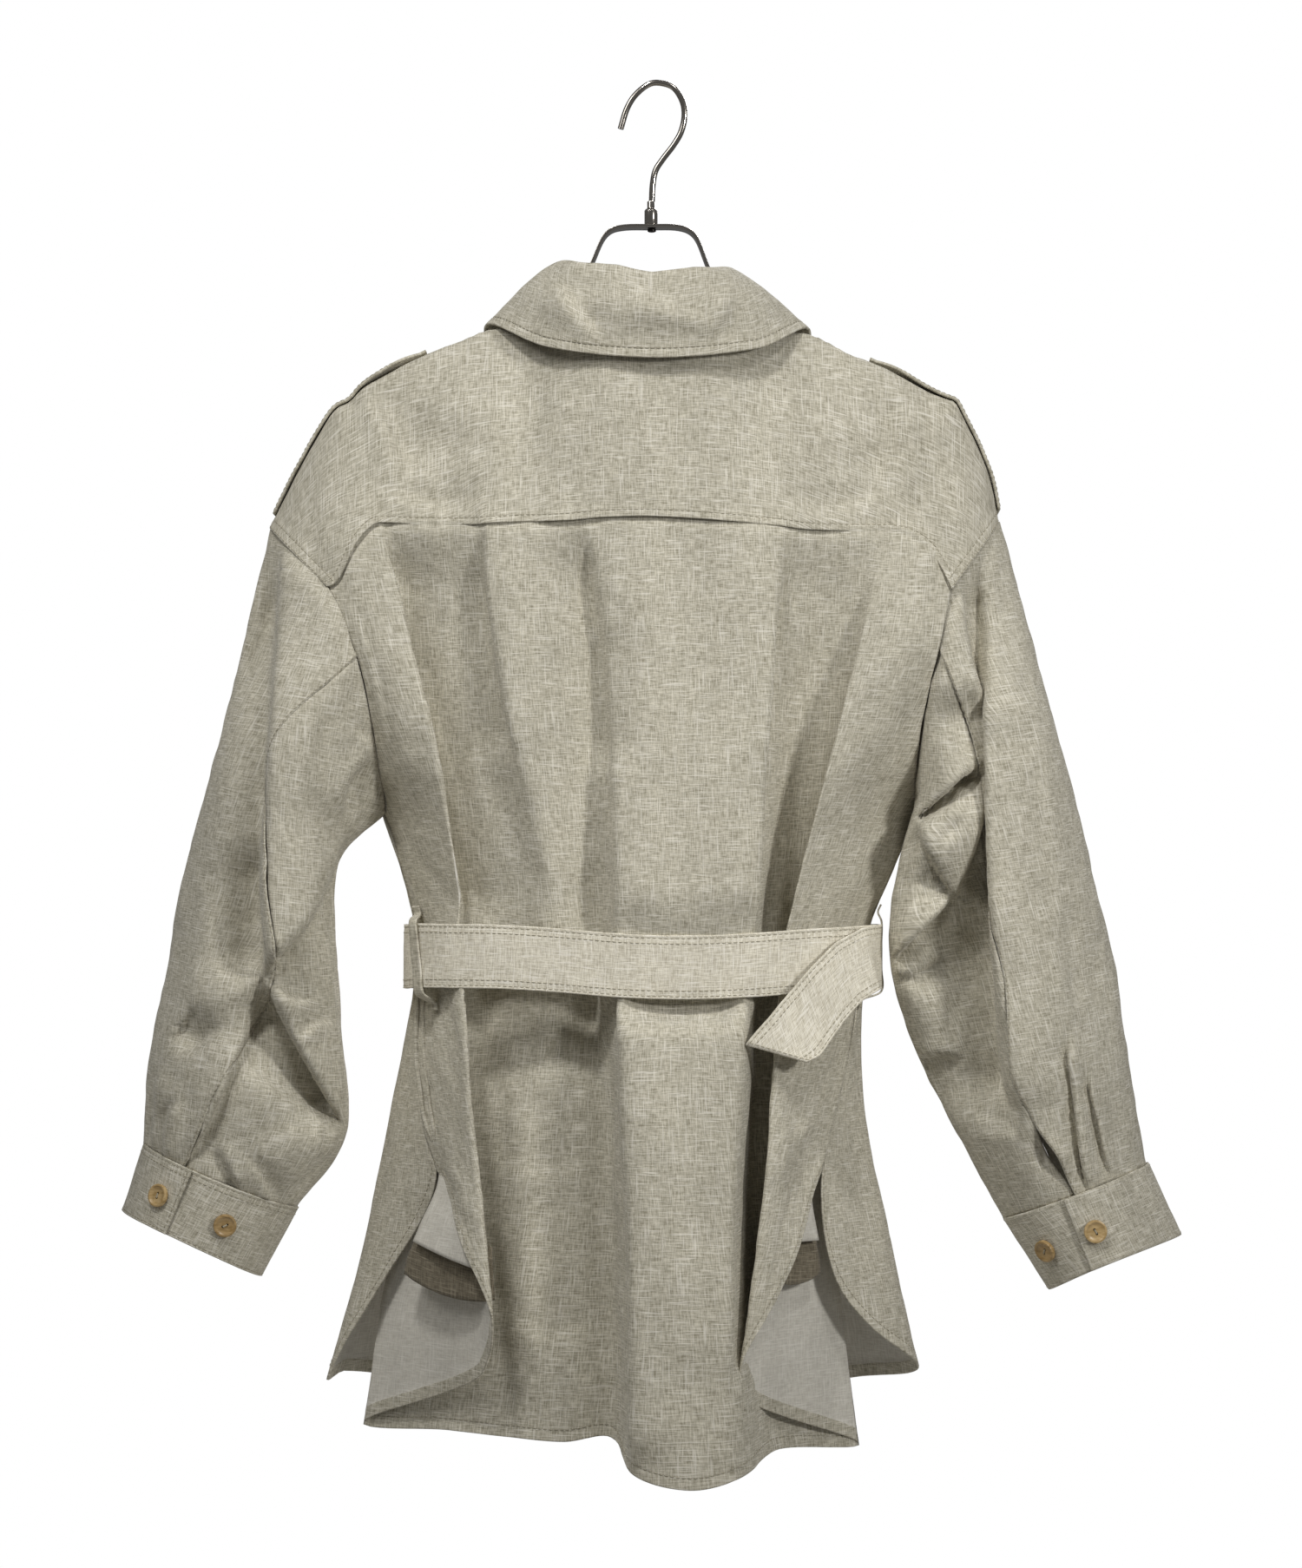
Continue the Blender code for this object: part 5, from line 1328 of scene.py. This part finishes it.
for side, word in enumerate(sideWords):
    for part, spot, seams, stitches in sleeves["parts"]:
        name = "sleeve" + part.capitalize() + word.capitalize() + "Cloth"
        makePanel(name, lambda k, t: sleeveSurface(side, part, k, t), towards=toBack, spot=spot,
                  seed=41 + 2 * side + (part == "top"), shape=lambda k, t: sleeveShape(side, part, k, t),
                  edges=seams, grain=lambda points: weaveUv(points, sleeves["lean"][side]), **sleeves["cut"])
        finishPanel(name, "sleeve_" + part + "_" + word, stitches)
    opening = cuffs["opening"][side]
    name = "cuff" + word.capitalize() + "Cloth"
    makePanel(name, lambda c, t: cuffSurface(side, c, t * 1.02 - 0.02),
              (opening - cuffs["overlap"], opening + len(armhole)), towards=toBack, seed=51 + side,
              marks={edge: edgeMarks["double"] for edge in ("top", "end", "side")},
              thick=cloth["doubleShell"], insides=linen,
              edges=[(edge, *cuffs["seam"]) for edge in ("top", "hem", "start", "end")], **cuffs["cut"])
    finishPanel(name, "cuff_" + word, cuffs["stitches"])
print("sleeves and cuffs ready")


def beltRows():
    # from under the tail across the back, round left and front, and over itself to the tail
    degrees = np.linspace(*belt["turns"], 200)
    turns = np.radians(degrees)
    lapStart, lapLong = belt["lap"]
    out = smoothStep((degrees - lapStart) / lapLong) * (cloth["double"] + 0.6)
    c, s = np.cos(turns), np.sin(turns)
    half = np.where(s > 0, belt["half"][1], belt["half"][2]) + out
    power = 2 / belt["square"]
    x = belt["middleX"] + (belt["half"][0] + out) * np.sign(c) * np.abs(c) ** power
    y = -half * np.sign(s) * np.abs(s) ** power
    z = belt["z"] - belt["sag"] * np.clip(s, 0, 1)
    rows = np.concatenate([np.stack([x, y, z, 0 * x], axis=1), np.array(belt["tail"], float)])
    gone = runLength(rows[:, :3])
    return rows, gone / gone[-1]


beltLine, beltWay = beltRows()


def beltSurface(a, b):
    rows = np.stack([np.interp(a, beltWay, beltLine[:, k]) for k in range(4)], axis=-1)
    lean = rows[..., 3] * math.radians(57)
    width = np.stack([-np.sin(lean), 0 * lean, np.cos(lean)], axis=-1)
    points = rows[..., :3] + width * ((0.5 - b) * belt["width"])[..., None]
    x, z = zip(*belt["hang"])
    points[..., 2] += through(x, z, points[..., 0]) * smoothStep((-12 - points[..., 1]) / 25) * (a < 0.5)
    return place(points)


beltPiece = makePanel("beltCloth", beltSurface, towards=toBack, thick=cloth["doubleShell"], insides=beltLinen,
                      marks={edge: edgeMarks["double"] for edge in ("top", "end")},
                      edges=[(edge, *belt["seam"]) for edge in ("top", "hem")], **belt["cut"])
beltPiece.data.materials[0] = beltLinen
finishPanel("beltCloth", "belt", belt["stitches"])


# belt loops
loops = {
    "cut": {"span": (0.0, 1.0), "step": 1.3, "thick": 1.3, "rippleSize": (0.1, 0.0)},
    "width": 8.0,
    "places": (
        # place on the back above and below the belt, depth y over its edges, lift off the body and the belt
        (0.35, 0.8, -31.0, -38.5, 2.8, 2.2),
        (17.0, 17.0, -1.0, -4.0, 2.6, 3.6),
    ),
    "rise": ((-34, 0), (-29, 0), (-23, 1), (-8, 1), (8, 1), (23, 1), (29, 0), (34, 0)),
    "tight": (0.0, 1.8),
}


def loopGrid(side):
    # strap standing over the belt, sewn to the body above and below it
    sTop, sLow, yTop, yLow, offBody, offBelt = loops["places"][side]
    long, deep = belt["half"][0], belt["half"][1]
    highest = loops["rise"][-1][0]
    rows = []
    for height, lifted in loops["rise"]:
        down = (highest - height) / (2 * highest)
        y = yTop + (yLow - yTop) * down
        reach = long * (1 - (-y / deep) ** belt["square"]) ** (1 / belt["square"])
        out = unit(np.array([reach**2 / long**3 * (1 if side else -1), -(y**2) / deep**3]))
        z = belt["z"] - belt["sag"] * (-y / deep) ** (belt["square"] / 2) + height
        seat = backAt(np.array(sTop + (sLow - sTop) * down), np.array(z))[:2] + out * offBody
        beside = np.array([belt["middleX"] + np.sign(out[0]) * reach, y])
        over = beside + out * (offBelt - loops["tight"][side])
        x, y = seat + (over - seat) * lifted
        rows.append((x, y, z, -out[1], out[0]))
    rows = np.array(rows, float)
    line = rows[:, :3]
    width = np.stack([rows[:, 3], rows[:, 4], 0 * rows[:, 3]], axis=1) * loops["width"] / 2
    return place(np.stack([line - width, line + width]))


for side, word in enumerate(sideWords):
    grid = loopGrid(side)

    def loopSurface(a, b):
        at = b * (grid.shape[1] - 1)
        edgeA = across(np.broadcast_to(grid[0], at.shape + grid[0].shape), at)
        edgeB = across(np.broadcast_to(grid[1], at.shape + grid[1].shape), at)
        return edgeA + (edgeB - edgeA) * a[..., None]

    name = "beltLoop" + word.capitalize() + "Cloth"
    makePanel(name, loopSurface, towards=(1 if side else -1, 0, 0), seed=65 + side, insides=linen,
              **loops["cut"])
    finishPanel(name, "belt_loop_" + word)


# pocket bags and the linen behind them
bags = {
    "places": (
        # name, inner and outer column on the back, top z, hem z at the inner and outer column
        ("pocket_bag_left", 1.42, 0.1, -645, -776, -757),
        ("pocket_bag_right", 15.6, 16.9, -645, -760, -757),
    ),
    "cut": {"span": (0.0, 1.0), "step": 2.6, "seed": 71, "rippleSize": (0.2, 0.4)},
    "facingCut": {"span": (0.0, 1.0), "step": 2.6, "seed": 75, "rippleSize": (0.2, 0.3)},
    "inset": (1.6, 5.0),
    "reach": (10.0, 0.0),
    "facing": {"hidden": 14.0, "longer": 20.0, "round": 9.0, "inset": 15.0, "reach": (18.0, -6.0),
               "behind": (0.3, 0.0)},
}


for name, inner, outer, top, lowIn, lowOut in bags["places"]:
    side = int(name.endswith("right"))

    def bagSurface(k, t):
        s = inner + (outer - inner) * k
        low = lowIn + (lowOut - lowIn) * k
        inset = bags["inset"][0] + (bags["inset"][1] - bags["inset"][0]) * np.clip(t / 0.35, 0, 1)
        points = offGrid(place(backAt(s, top + (low - top) * t)), inset[..., None])
        points[..., 0] -= bags["reach"][side] * k * smoothStep((t - 0.4) / 0.5)
        return points

    def facingSurface(k, t):
        # linen back of the pocket, a little longer than its bag and rounded below
        facing = bags["facing"]
        behind = facing["behind"][side]
        s = inner + (outer - inner) * (k * (1 + behind) - behind)
        low = lowIn + (lowOut - lowIn) * k
        start = low + facing["hidden"]
        end = low - facing["longer"] - facing["round"] * np.sin(np.clip(k, 0.02, 0.98) * math.pi) ** 0.6
        points = offGrid(place(backAt(s, start + (end - start) * t)), facing["inset"])
        points[..., 0] -= facing["reach"][side] * k
        return points

    word = name.split("_")[-1].capitalize()
    facingName = "pocketFacing" + word + "Cloth"
    # its linen is darkened: painted shade behind the pocket bag
    facingPiece = makePanel(facingName, facingSurface, towards=toBack, insides=paintedShadeLinen,
                            **bags["facingCut"])
    facingPiece.data.materials[0] = paintedShadeLinen
    declareCloth(facingName)
    panelName = "pocketBag" + word + "Cloth"
    bagPiece = makePanel(panelName, bagSurface, towards=toBack, insides=pocketCloth, **bags["cut"])
    bagPiece.data.materials[0] = pocketCloth
    finishPanel(panelName, name)
print("belt, loops and pocket bags ready")


def standSurface(w, t):
    below, above = collar["standGaps"]
    neck = neckAt(w, 1) + np.array([0, 0, below])
    neck[..., 1] -= np.where(w < 4, underlap(neck[..., 0]), 0)
    fold = neckAt(w, 2) - np.array([0, 0, above])
    return place(neck + (fold - neck) * t[..., None])


def fallSeen(w, t):
    # from the fold out, over and down to the free edge
    fold, edge = neckAt(w, 2), neckAt(w, 3)
    away = unit((fold - np.array(collar["middle"])) * np.array([1.0, 1.0, 0.0]))
    bend = fold + away * collar["roll"] + np.array([0, 0, collar["rollRise"]])
    t = t[..., None]
    points = (1 - t) ** 2 * fold + 2 * t * (1 - t) * bend + t**2 * edge
    x, z = zip(*collar["dips"])
    behind = smoothStep(-points[..., 1] / 12)
    points[..., 2] += np.interp(points[..., 0], x, z) * (1 - t[..., 0]) ** 2 * behind
    return points


def fallShape(w, t):
    points = fallSeen(w, t)
    behind = smoothStep((10 - points[..., 1]) / 20)
    return place(points + folded(points, collar["creases"]) * behind[..., None])


makePanel("collarStandCloth", standSurface, towards=toBack, thick=cloth["doubleShell"], insides=linen,
          **collar["standCut"])
finishPanel("collarStandCloth", "collar_stand")
makePanel("collarFallCloth", lambda w, t: place(fallSeen(w, t)), towards=toBack, shape=fallShape,
          marks={edge: edgeMarks["collar"] for edge in ("end", "side")}, thick=cloth["doubleShell"],
          insides=linen, edges=[(edge, *collar["fallSeam"]) for edge in ("hem", "start", "end")],
          **collar["fallCut"])
finishPanel("collarFallCloth", "collar_fall",
            [(edge, collar["fallStitches"]) for edge in ("hem", "start", "end")])


# shoulder straps
straps = {
    "width": (-7.0, 29.0),
    "perYoke": (62.0, 38.0),  # mm behind and before the ridge that make 0.3 of the way over the yoke
    "point": {"long": 0.13, "wide": 0.12},
    "gap": 0.8,
    "lift": 3.0,
    "liftFrom": 0.55,
    "places": (("epaulette_left", 0.25, 6.15), ("epaulette_right", 16.75, 11.75)),
    "button": (0.86, 0.35),
    "cut": {"span": (0.0, 1.0), "step": 2.4, "seed": 91},
    "stitches": (("top", 2.2), ("hem", 2.2)),
}


def strapAt(sOut, sIn, k, w):
    # strap over the shoulder, from the sleeve seam to its point near the collar
    s = sOut + (sIn - sOut) * k
    point = np.clip((1 - k) / straps["point"]["long"], straps["point"]["wide"], 1)
    low, high = straps["width"]
    acrossMm = (low + high) / 2 + w * (high - low) / 2 * point
    v = yoke["ridge"] + acrossMm / np.where(acrossMm < 0, *straps["perYoke"]) * 0.3
    rise = straps["lift"] * np.clip((k - straps["liftFrom"]) / (1 - straps["liftFrom"]), 0, 1) ** 2
    lift = (cloth["single"] + cloth["double"]) / 2 + straps["gap"] + rise
    return offGrid(place(yokeAt(s, v)), lift[..., None], 2)


for name, sOut, sIn in straps["places"]:
    panelName = "epaulette" + name.split("_")[-1].capitalize() + "Cloth"
    makePanel(panelName, lambda k, w: strapAt(sOut, sIn, k, w * 2 - 1), towards=toTop,
              marks={edge: edgeMarks["strap"] for edge in ("top", "end")}, thick=cloth["doubleShell"],
              insides=linen, **straps["cut"])
    finishPanel(panelName, name, straps["stitches"])
print("collar and straps ready")


def beginPiece():
    if bpy.context.object is not None and bpy.context.object.mode != "OBJECT":
        bpy.ops.object.mode_set(mode="OBJECT")
    bpy.ops.object.select_all(action="DESELECT")


def pickFaces(piece, test):
    # select the faces whose centre and normal pass a test, in edit mode
    bpy.ops.object.mode_set(mode="EDIT")
    bpy.ops.mesh.select_mode(type="FACE")
    bpy.ops.mesh.select_all(action="DESELECT")
    bpy.ops.object.mode_set(mode="OBJECT")
    for face in piece.data.polygons:
        face.select = test(face.center, face.normal)
    bpy.ops.object.mode_set(mode="EDIT")


def bevelEdges(piece, width, segments, degrees=30):
    bevel = piece.modifiers.new("edge", "BEVEL")
    bevel.width = width
    bevel.segments = segments
    bevel.angle_limit = math.radians(degrees)
    bpy.ops.object.modifier_apply(modifier="edge")


# buttons, in metres but for the lift off the cloth in mm
buttonSizes = {
    "size": 0.015,
    "thick": 0.003,
    "sides": 28,
    "rim": 0.0013,
    "round": 0.0006,
    "slope": 0.0009,
    "dish": 0.0007,
    "hollow": (0.0022, 0.0002),
    "hole": 0.0009,
    "apart": 0.0030,
    "thread": 0.00055,
    "lift": 1.3,
}


def makeButton():
    beginPiece()
    bpy.ops.mesh.primitive_cylinder_add(vertices=buttonSizes["sides"], radius=buttonSizes["size"] / 2,
                                        depth=buttonSizes["thick"], location=(0, 0, buttonSizes["thick"] / 2))
    button = bpy.context.object
    pickFaces(button, lambda centre, normal: normal.z > 0.9)
    bpy.ops.mesh.inset(thickness=buttonSizes["rim"], depth=0)
    bpy.ops.mesh.inset(thickness=buttonSizes["slope"], depth=-buttonSizes["dish"])
    bpy.ops.mesh.inset(thickness=buttonSizes["hollow"][0], depth=-buttonSizes["hollow"][1])
    bpy.ops.object.mode_set(mode="OBJECT")
    bevelEdges(button, buttonSizes["round"], 2, 50)
    for way in (-1, 1):
        bpy.ops.object.select_all(action="DESELECT")
        bpy.ops.mesh.primitive_cylinder_add(vertices=12, radius=buttonSizes["hole"], depth=0.01,
                                            location=(way * buttonSizes["apart"] / 2, 0, 0))
        drill = bpy.context.object
        bpy.ops.object.select_all(action="DESELECT")
        button.select_set(True)
        bpy.context.view_layer.objects.active = button
        cut = button.modifiers.new("hole", "BOOLEAN")
        cut.object = drill
        bpy.ops.object.modifier_apply(modifier="hole")
        bpy.data.objects.remove(drill)
    button.data.materials.clear()
    button.data.materials.append(hornTan)
    button.data.materials.append(threadCotton)
    # thread over the two holes
    bpy.ops.object.select_all(action="DESELECT")
    height = buttonSizes["thick"] - buttonSizes["dish"] - 0.0001
    bpy.ops.mesh.primitive_cylinder_add(vertices=10, radius=buttonSizes["thread"], depth=buttonSizes["apart"],
                                        rotation=(0, math.pi / 2, 0), location=(0, 0, height))
    thread = bpy.context.object
    bpy.ops.object.transform_apply(location=True, rotation=True, scale=True)
    thread.data.materials.append(threadCotton)
    button.select_set(True)
    bpy.context.view_layer.objects.active = button
    bpy.ops.object.join()
    bpy.ops.object.transform_apply(location=True, rotation=True, scale=True)
    bpy.ops.object.shade_smooth_by_angle(angle=math.radians(35))
    return button


def spotOn(surface, a, b, outside):
    # a button's place on a surface and the way out of it
    pa, pb = gridOf((a - 0.01, a, a + 0.01), (b - 0.01, b, b + 0.01))
    patch = surface(pa, pb)
    n = normalsOf(patch)[1, 1]
    n = n if np.dot(n, outside) > 0 else -n
    return patch[1, 1] + n * buttonSizes["lift"], n


def setButton(node, centre, out, turn, horn):
    piece = patternButton.copy()
    piece.data = patternButton.data.copy()
    piece.name = node.replace("button", "horn_button")
    piece.data.name = piece.name
    piece.data.materials[0] = horn
    bpy.context.scene.collection.objects.link(piece)
    pose = Vector(out).to_track_quat("Z", "Y").to_matrix().to_4x4() @ Matrix.Rotation(turn, 4, "Z")
    piece.data.transform(Matrix.Translation(Vector(centre) / 1000) @ pose)
    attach(piece, "root")
    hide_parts(node)


patternButton = makeButton()
at = fronts["placket"]["middle"]
middle = placketSurface(*gridOf((at - 0.005, at, at + 0.005), np.linspace(0, 1, 60)))[1]
for index, height in enumerate(fronts["buttonHeights"]):
    spot = np.array([np.interp(-height, -middle[:, 2], middle[:, k]) for k in range(3)])
    centre = spot + np.array(toFront) * buttonSizes["lift"]
    setButton(f"button_front_{index + 1}", centre, toFront, 0.2 * index, hornTan)
for node, side, c, upper in cuffs["buttons"]:
    centre, out = spotOn(lambda a, b: cuffSurface(side, a, b), c + len(armhole) * upper, 0.52, toBack)
    # the second buttons take the darker horn, which is partly painted shade
    setButton(node, centre, out, 0.4 + 0.7 * side + upper, hornTan if upper else hornBrownAndShade)
for name, sOut, sIn in straps["places"]:
    centre, out = spotOn(lambda a, b: strapAt(sOut, sIn, a, b), *straps["button"], toTop)
    setButton("button_" + name, centre, out, 0.3, hornTan)
bpy.data.objects.remove(patternButton)
print("buttons ready")


# hanger
hanger = {
    "wire": 2.0,
    "roundEnds": 0.6,  # of the radius
    "roundEdges": {"ferrule": 0.3, "arch": 0.4},
    "hook": (
        # x z
        (-20, -28), (-15.5, -14), (-9.6, -5), (0, 1.9), (8, 1.9), (15, -1), (20.7, -10), (22, -19),
        (19.7, -30), (14.8, -38.6), (8, -47.5), (3, -55.3), (1.2, -64), (0.5, -76.6),
    ),
    "ferrule": ((4.3, 9.7), (3.6, 0.8), (2.5, 0.6), (2.5, 4.6)),  # radius and height of each step
    "ferruleFoot": -91.3,
    "rivet": {"radius": 2.8, "tall": 1.6, "x": 0.5, "z": -94.5, "rim": 0.9, "hollow": 0.5},
    "arch": (
        # x z
        (-52.6, -144.6), (-45, -130), (-38, -115), (-31, -99.5), (-26, -94.8), (-18, -92.8), (0, -92.5),
        (17, -92.8), (24.6, -95), (29.4, -99.5), (36, -115.5), (41.6, -130), (47.6, -144.6),
    ),
    "strip": (1.8, 18.0),
    "armRadius": 5.0,
    "armStart": (
        ((-47.9, -148.8), (-62.9, -162), (-79, -172.6)),
        ((42.9, -148.8), (60.9, -162.9), (80, -173.6)),
    ),
    "armReach": ((1.4, 6.6), (11.5, 15.6)),
}


def finishHard(piece, name, node, finish):
    piece.name = name
    piece.data.name = name
    piece.data.materials.clear()
    piece.data.materials.append(finish)
    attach(piece, "root")
    if node:
        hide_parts(node)


def bendWire(name, node, path, radius, sides, steps):
    # round bar along a path in the hanger's plane, with rounded ends
    beginPiece()
    bpy.ops.curve.primitive_nurbs_path_add(location=(0, 0, 0))
    wire = bpy.context.object
    wire.data.splines.clear()
    line = smoothPath(path, steps) / 1000
    spline = wire.data.splines.new("POLY")
    spline.points.add(len(line) - 1)
    for point, (x, z) in zip(spline.points, line):
        point.co = (x, 0, z, 1)
    wire.data.bevel_depth = radius / 1000
    wire.data.bevel_resolution = sides
    wire.data.use_fill_caps = True
    bpy.ops.object.convert(target="MESH")
    wire = bpy.context.object
    bevelEdges(wire, radius * hanger["roundEnds"] / 1000, 3, 60)
    bpy.ops.object.shade_smooth_by_angle(angle=math.radians(50))
    finishHard(wire, name, node, nickel)


bendWire("hookWire", "hanger_hook", hanger["hook"], hanger["wire"], 4, 120)


def makeFerrule():
    beginPiece()
    radius, tall = hanger["ferrule"][0]
    bpy.ops.mesh.primitive_cylinder_add(vertices=32, radius=radius / 1000, depth=tall / 1000,
                                        location=(0, 0, (hanger["ferruleFoot"] + tall / 2) / 1000))
    ferrule = bpy.context.object
    bpy.ops.object.transform_apply(location=True)
    for nextRadius, rise in hanger["ferrule"][1:]:
        top = max(v.co.z for v in ferrule.data.vertices)
        pickFaces(ferrule, lambda centre, normal: normal.z > 0.9 and centre.z > top - 1e-6)
        bpy.ops.mesh.extrude_region_move(TRANSFORM_OT_translate={"value": (0, 0, rise / 1000)})
        share = nextRadius / radius
        bpy.ops.transform.resize(value=(share, share, 1), center_override=(0, 0, 0))
        radius = nextRadius
        bpy.ops.object.mode_set(mode="OBJECT")
    bevelEdges(ferrule, hanger["roundEdges"]["ferrule"] / 1000, 2)
    bpy.ops.object.shade_smooth_by_angle(angle=math.radians(40))
    finishHard(ferrule, "ferrule", "hanger_ferrule", nickel)


makeFerrule()


def makeArch():
    # flat strip bent to an arch
    beginPiece()
    path = smoothPath(hanger["arch"], 60) / 1000
    half = hanger["strip"][1] / 2000
    bpy.ops.mesh.primitive_plane_add(size=2 * half, location=(0, 0, 0))
    arch = bpy.context.object
    bpy.ops.object.mode_set(mode="EDIT")
    bpy.ops.mesh.select_all(action="DESELECT")
    bpy.ops.object.mode_set(mode="OBJECT")
    # the plane's two ends become the first step of the strip
    for vertex in arch.data.vertices:
        step = path[0] if vertex.co.x < 0 else path[1]
        vertex.co.x, vertex.co.z = step[0], step[1]
    for k in range(1, len(path) - 1):
        bpy.ops.object.mode_set(mode="EDIT")
        bpy.ops.mesh.select_mode(type="EDGE")
        bpy.ops.mesh.select_all(action="DESELECT")
        bpy.ops.object.mode_set(mode="OBJECT")
        for edge in arch.data.edges:
            ends = [arch.data.vertices[v].co for v in edge.vertices]
            edge.select = all(abs(e.x - path[k][0]) < 1e-6 and abs(e.z - path[k][1]) < 1e-6 for e in ends)
        bpy.ops.object.mode_set(mode="EDIT")
        step = path[k + 1] - path[k]
        bpy.ops.mesh.extrude_region_move(TRANSFORM_OT_translate={"value": (step[0], 0, step[1])})
        bpy.ops.object.mode_set(mode="OBJECT")
    thick = arch.modifiers.new("thick", "SOLIDIFY")
    thick.thickness = hanger["strip"][0] / 1000
    thick.offset = 0
    bpy.ops.object.modifier_apply(modifier="thick")
    bevelEdges(arch, hanger["roundEdges"]["arch"] / 1000, 2, 60)
    bpy.ops.object.mode_set(mode="EDIT")
    bpy.ops.mesh.select_all(action="SELECT")
    bpy.ops.mesh.normals_make_consistent(inside=False)
    bpy.ops.object.mode_set(mode="OBJECT")
    bpy.ops.object.shade_smooth_by_angle(angle=math.radians(40))
    finishHard(arch, "archStrip", "hanger_arch", nickel)


makeArch()


def makeRivet():
    # head that holds the hook under the arch; its hollow is modelled and its near-black colour is painted
    # shade of the screw hole
    beginPiece()
    sizes = hanger["rivet"]
    bpy.ops.mesh.primitive_cylinder_add(vertices=20, radius=sizes["radius"] / 1000,
                                        depth=sizes["tall"] / 1000,
                                        location=(sizes["x"] / 1000, 0, sizes["z"] / 1000))
    rivet = bpy.context.object
    bpy.ops.object.transform_apply(location=True)
    pickFaces(rivet, lambda centre, normal: normal.z < -0.9)
    bpy.ops.mesh.inset(thickness=sizes["rim"] / 1000, depth=sizes["hollow"] / 1000)
    bpy.ops.object.mode_set(mode="OBJECT")
    bpy.ops.object.shade_smooth_by_angle(angle=math.radians(40))
    finishHard(rivet, "rivet", None, holeShadeSteel)


makeRivet()


def armPath(side):
    # the hanger's arm lies under the ridge of the yoke
    low, high = hanger["armReach"][side]
    spots = [row[0] for row in yoke["over"]]
    s = np.interp(np.arange((len(spots) - 1) * 2 + 1) / 2, range(len(spots)), spots)
    s = s[(s >= low) & (s <= high)]
    s = s if side else s[::-1]
    ridge = place(yokeAt(s, np.full(s.shape, yoke["ridge"])))[:, [0, 2]]
    run = unit(np.gradient(ridge, axis=0))
    down = np.stack([run[:, 1], -run[:, 0]], axis=1)
    down *= np.where(down[:, 1:] > 0, -1, 1)
    seat = ridge + down * (cloth["single"] / 2 + 1.0 + hanger["armRadius"])
    return np.concatenate([np.array(hanger["armStart"][side], float), seat])


for side, word in enumerate(sideWords):
    bendWire("arm_" + word, "hanger_arm_" + word, armPath(side), hanger["armRadius"], 5, 60)
print("hanger ready")


# studio
studio = {
    "lights": (
        # name, power, place, width, spread in degrees
        ("key", 1.42, (-0.58, -1.25, 1.47), 0.3, 44),
        ("side", 1.46, (1.63, -1.63, 0.16), 0.3, 44),
        ("right", 0.5, (0.77, -1.34, 1.34), 0.3, 44),
        ("left", 1.3, (-1.32, -1.32, 1.01), 0.8, 60),
        ("front", 3.2, (0.5, 2.3, 0.7), 0.8, 60),
    ),
    "aim": (0, 0, -0.5),
    "ambient": 0.13,
    "floor": -1.6,
    "floorRadius": 1.9,
    "floorGlow": 0.2,
}


def makeStudio():
    beginPiece()
    bpy.ops.mesh.primitive_circle_add(vertices=96, radius=studio["floorRadius"], fill_type="NGON",
                                      location=(0, 0, studio["floor"]))
    floor = bpy.context.object
    floor.name = "floor"
    # matt pale floor with a faint glow
    pale = makePlain("paleFloor", colours["floor"], 0.8, Emission_Color=linear(colours["floor"]),
                     Emission_Strength=studio["floorGlow"])
    floor.data.materials.append(pale)
    for name, power, where, wide, spread in studio["lights"]:
        lamp = bpy.data.lights.new(name, "AREA")
        lamp.shape = "RECTANGLE"
        lamp.size, lamp.size_y = wide, wide
        lamp.energy = power
        lamp.spread = math.radians(spread)
        holder = bpy.data.objects.new(name, lamp)
        holder.location = where
        holder.rotation_euler = (Vector(studio["aim"]) - Vector(where)).to_track_quat("-Z", "Y").to_euler()
        bpy.context.scene.collection.objects.link(holder)
    world = bpy.data.worlds.new("studio")
    bpy.context.scene.world = world
    world.use_nodes = True
    tree = world.node_tree
    background = tree.nodes["Background"]
    seenByCamera = addNode(tree, "LightPath").outputs["Is Camera Ray"]
    glow = {"To Min": studio["ambient"], "To Max": 1.0}
    strength = addNode(tree, "MapRange", glow, {"Value": seenByCamera})
    background.inputs["Color"].default_value = (1, 1, 1, 1)
    tree.links.new(strength.outputs[0], background.inputs["Strength"])
    bpy.context.scene.view_settings.view_transform = "Standard"


makeStudio()
print("studio ready")
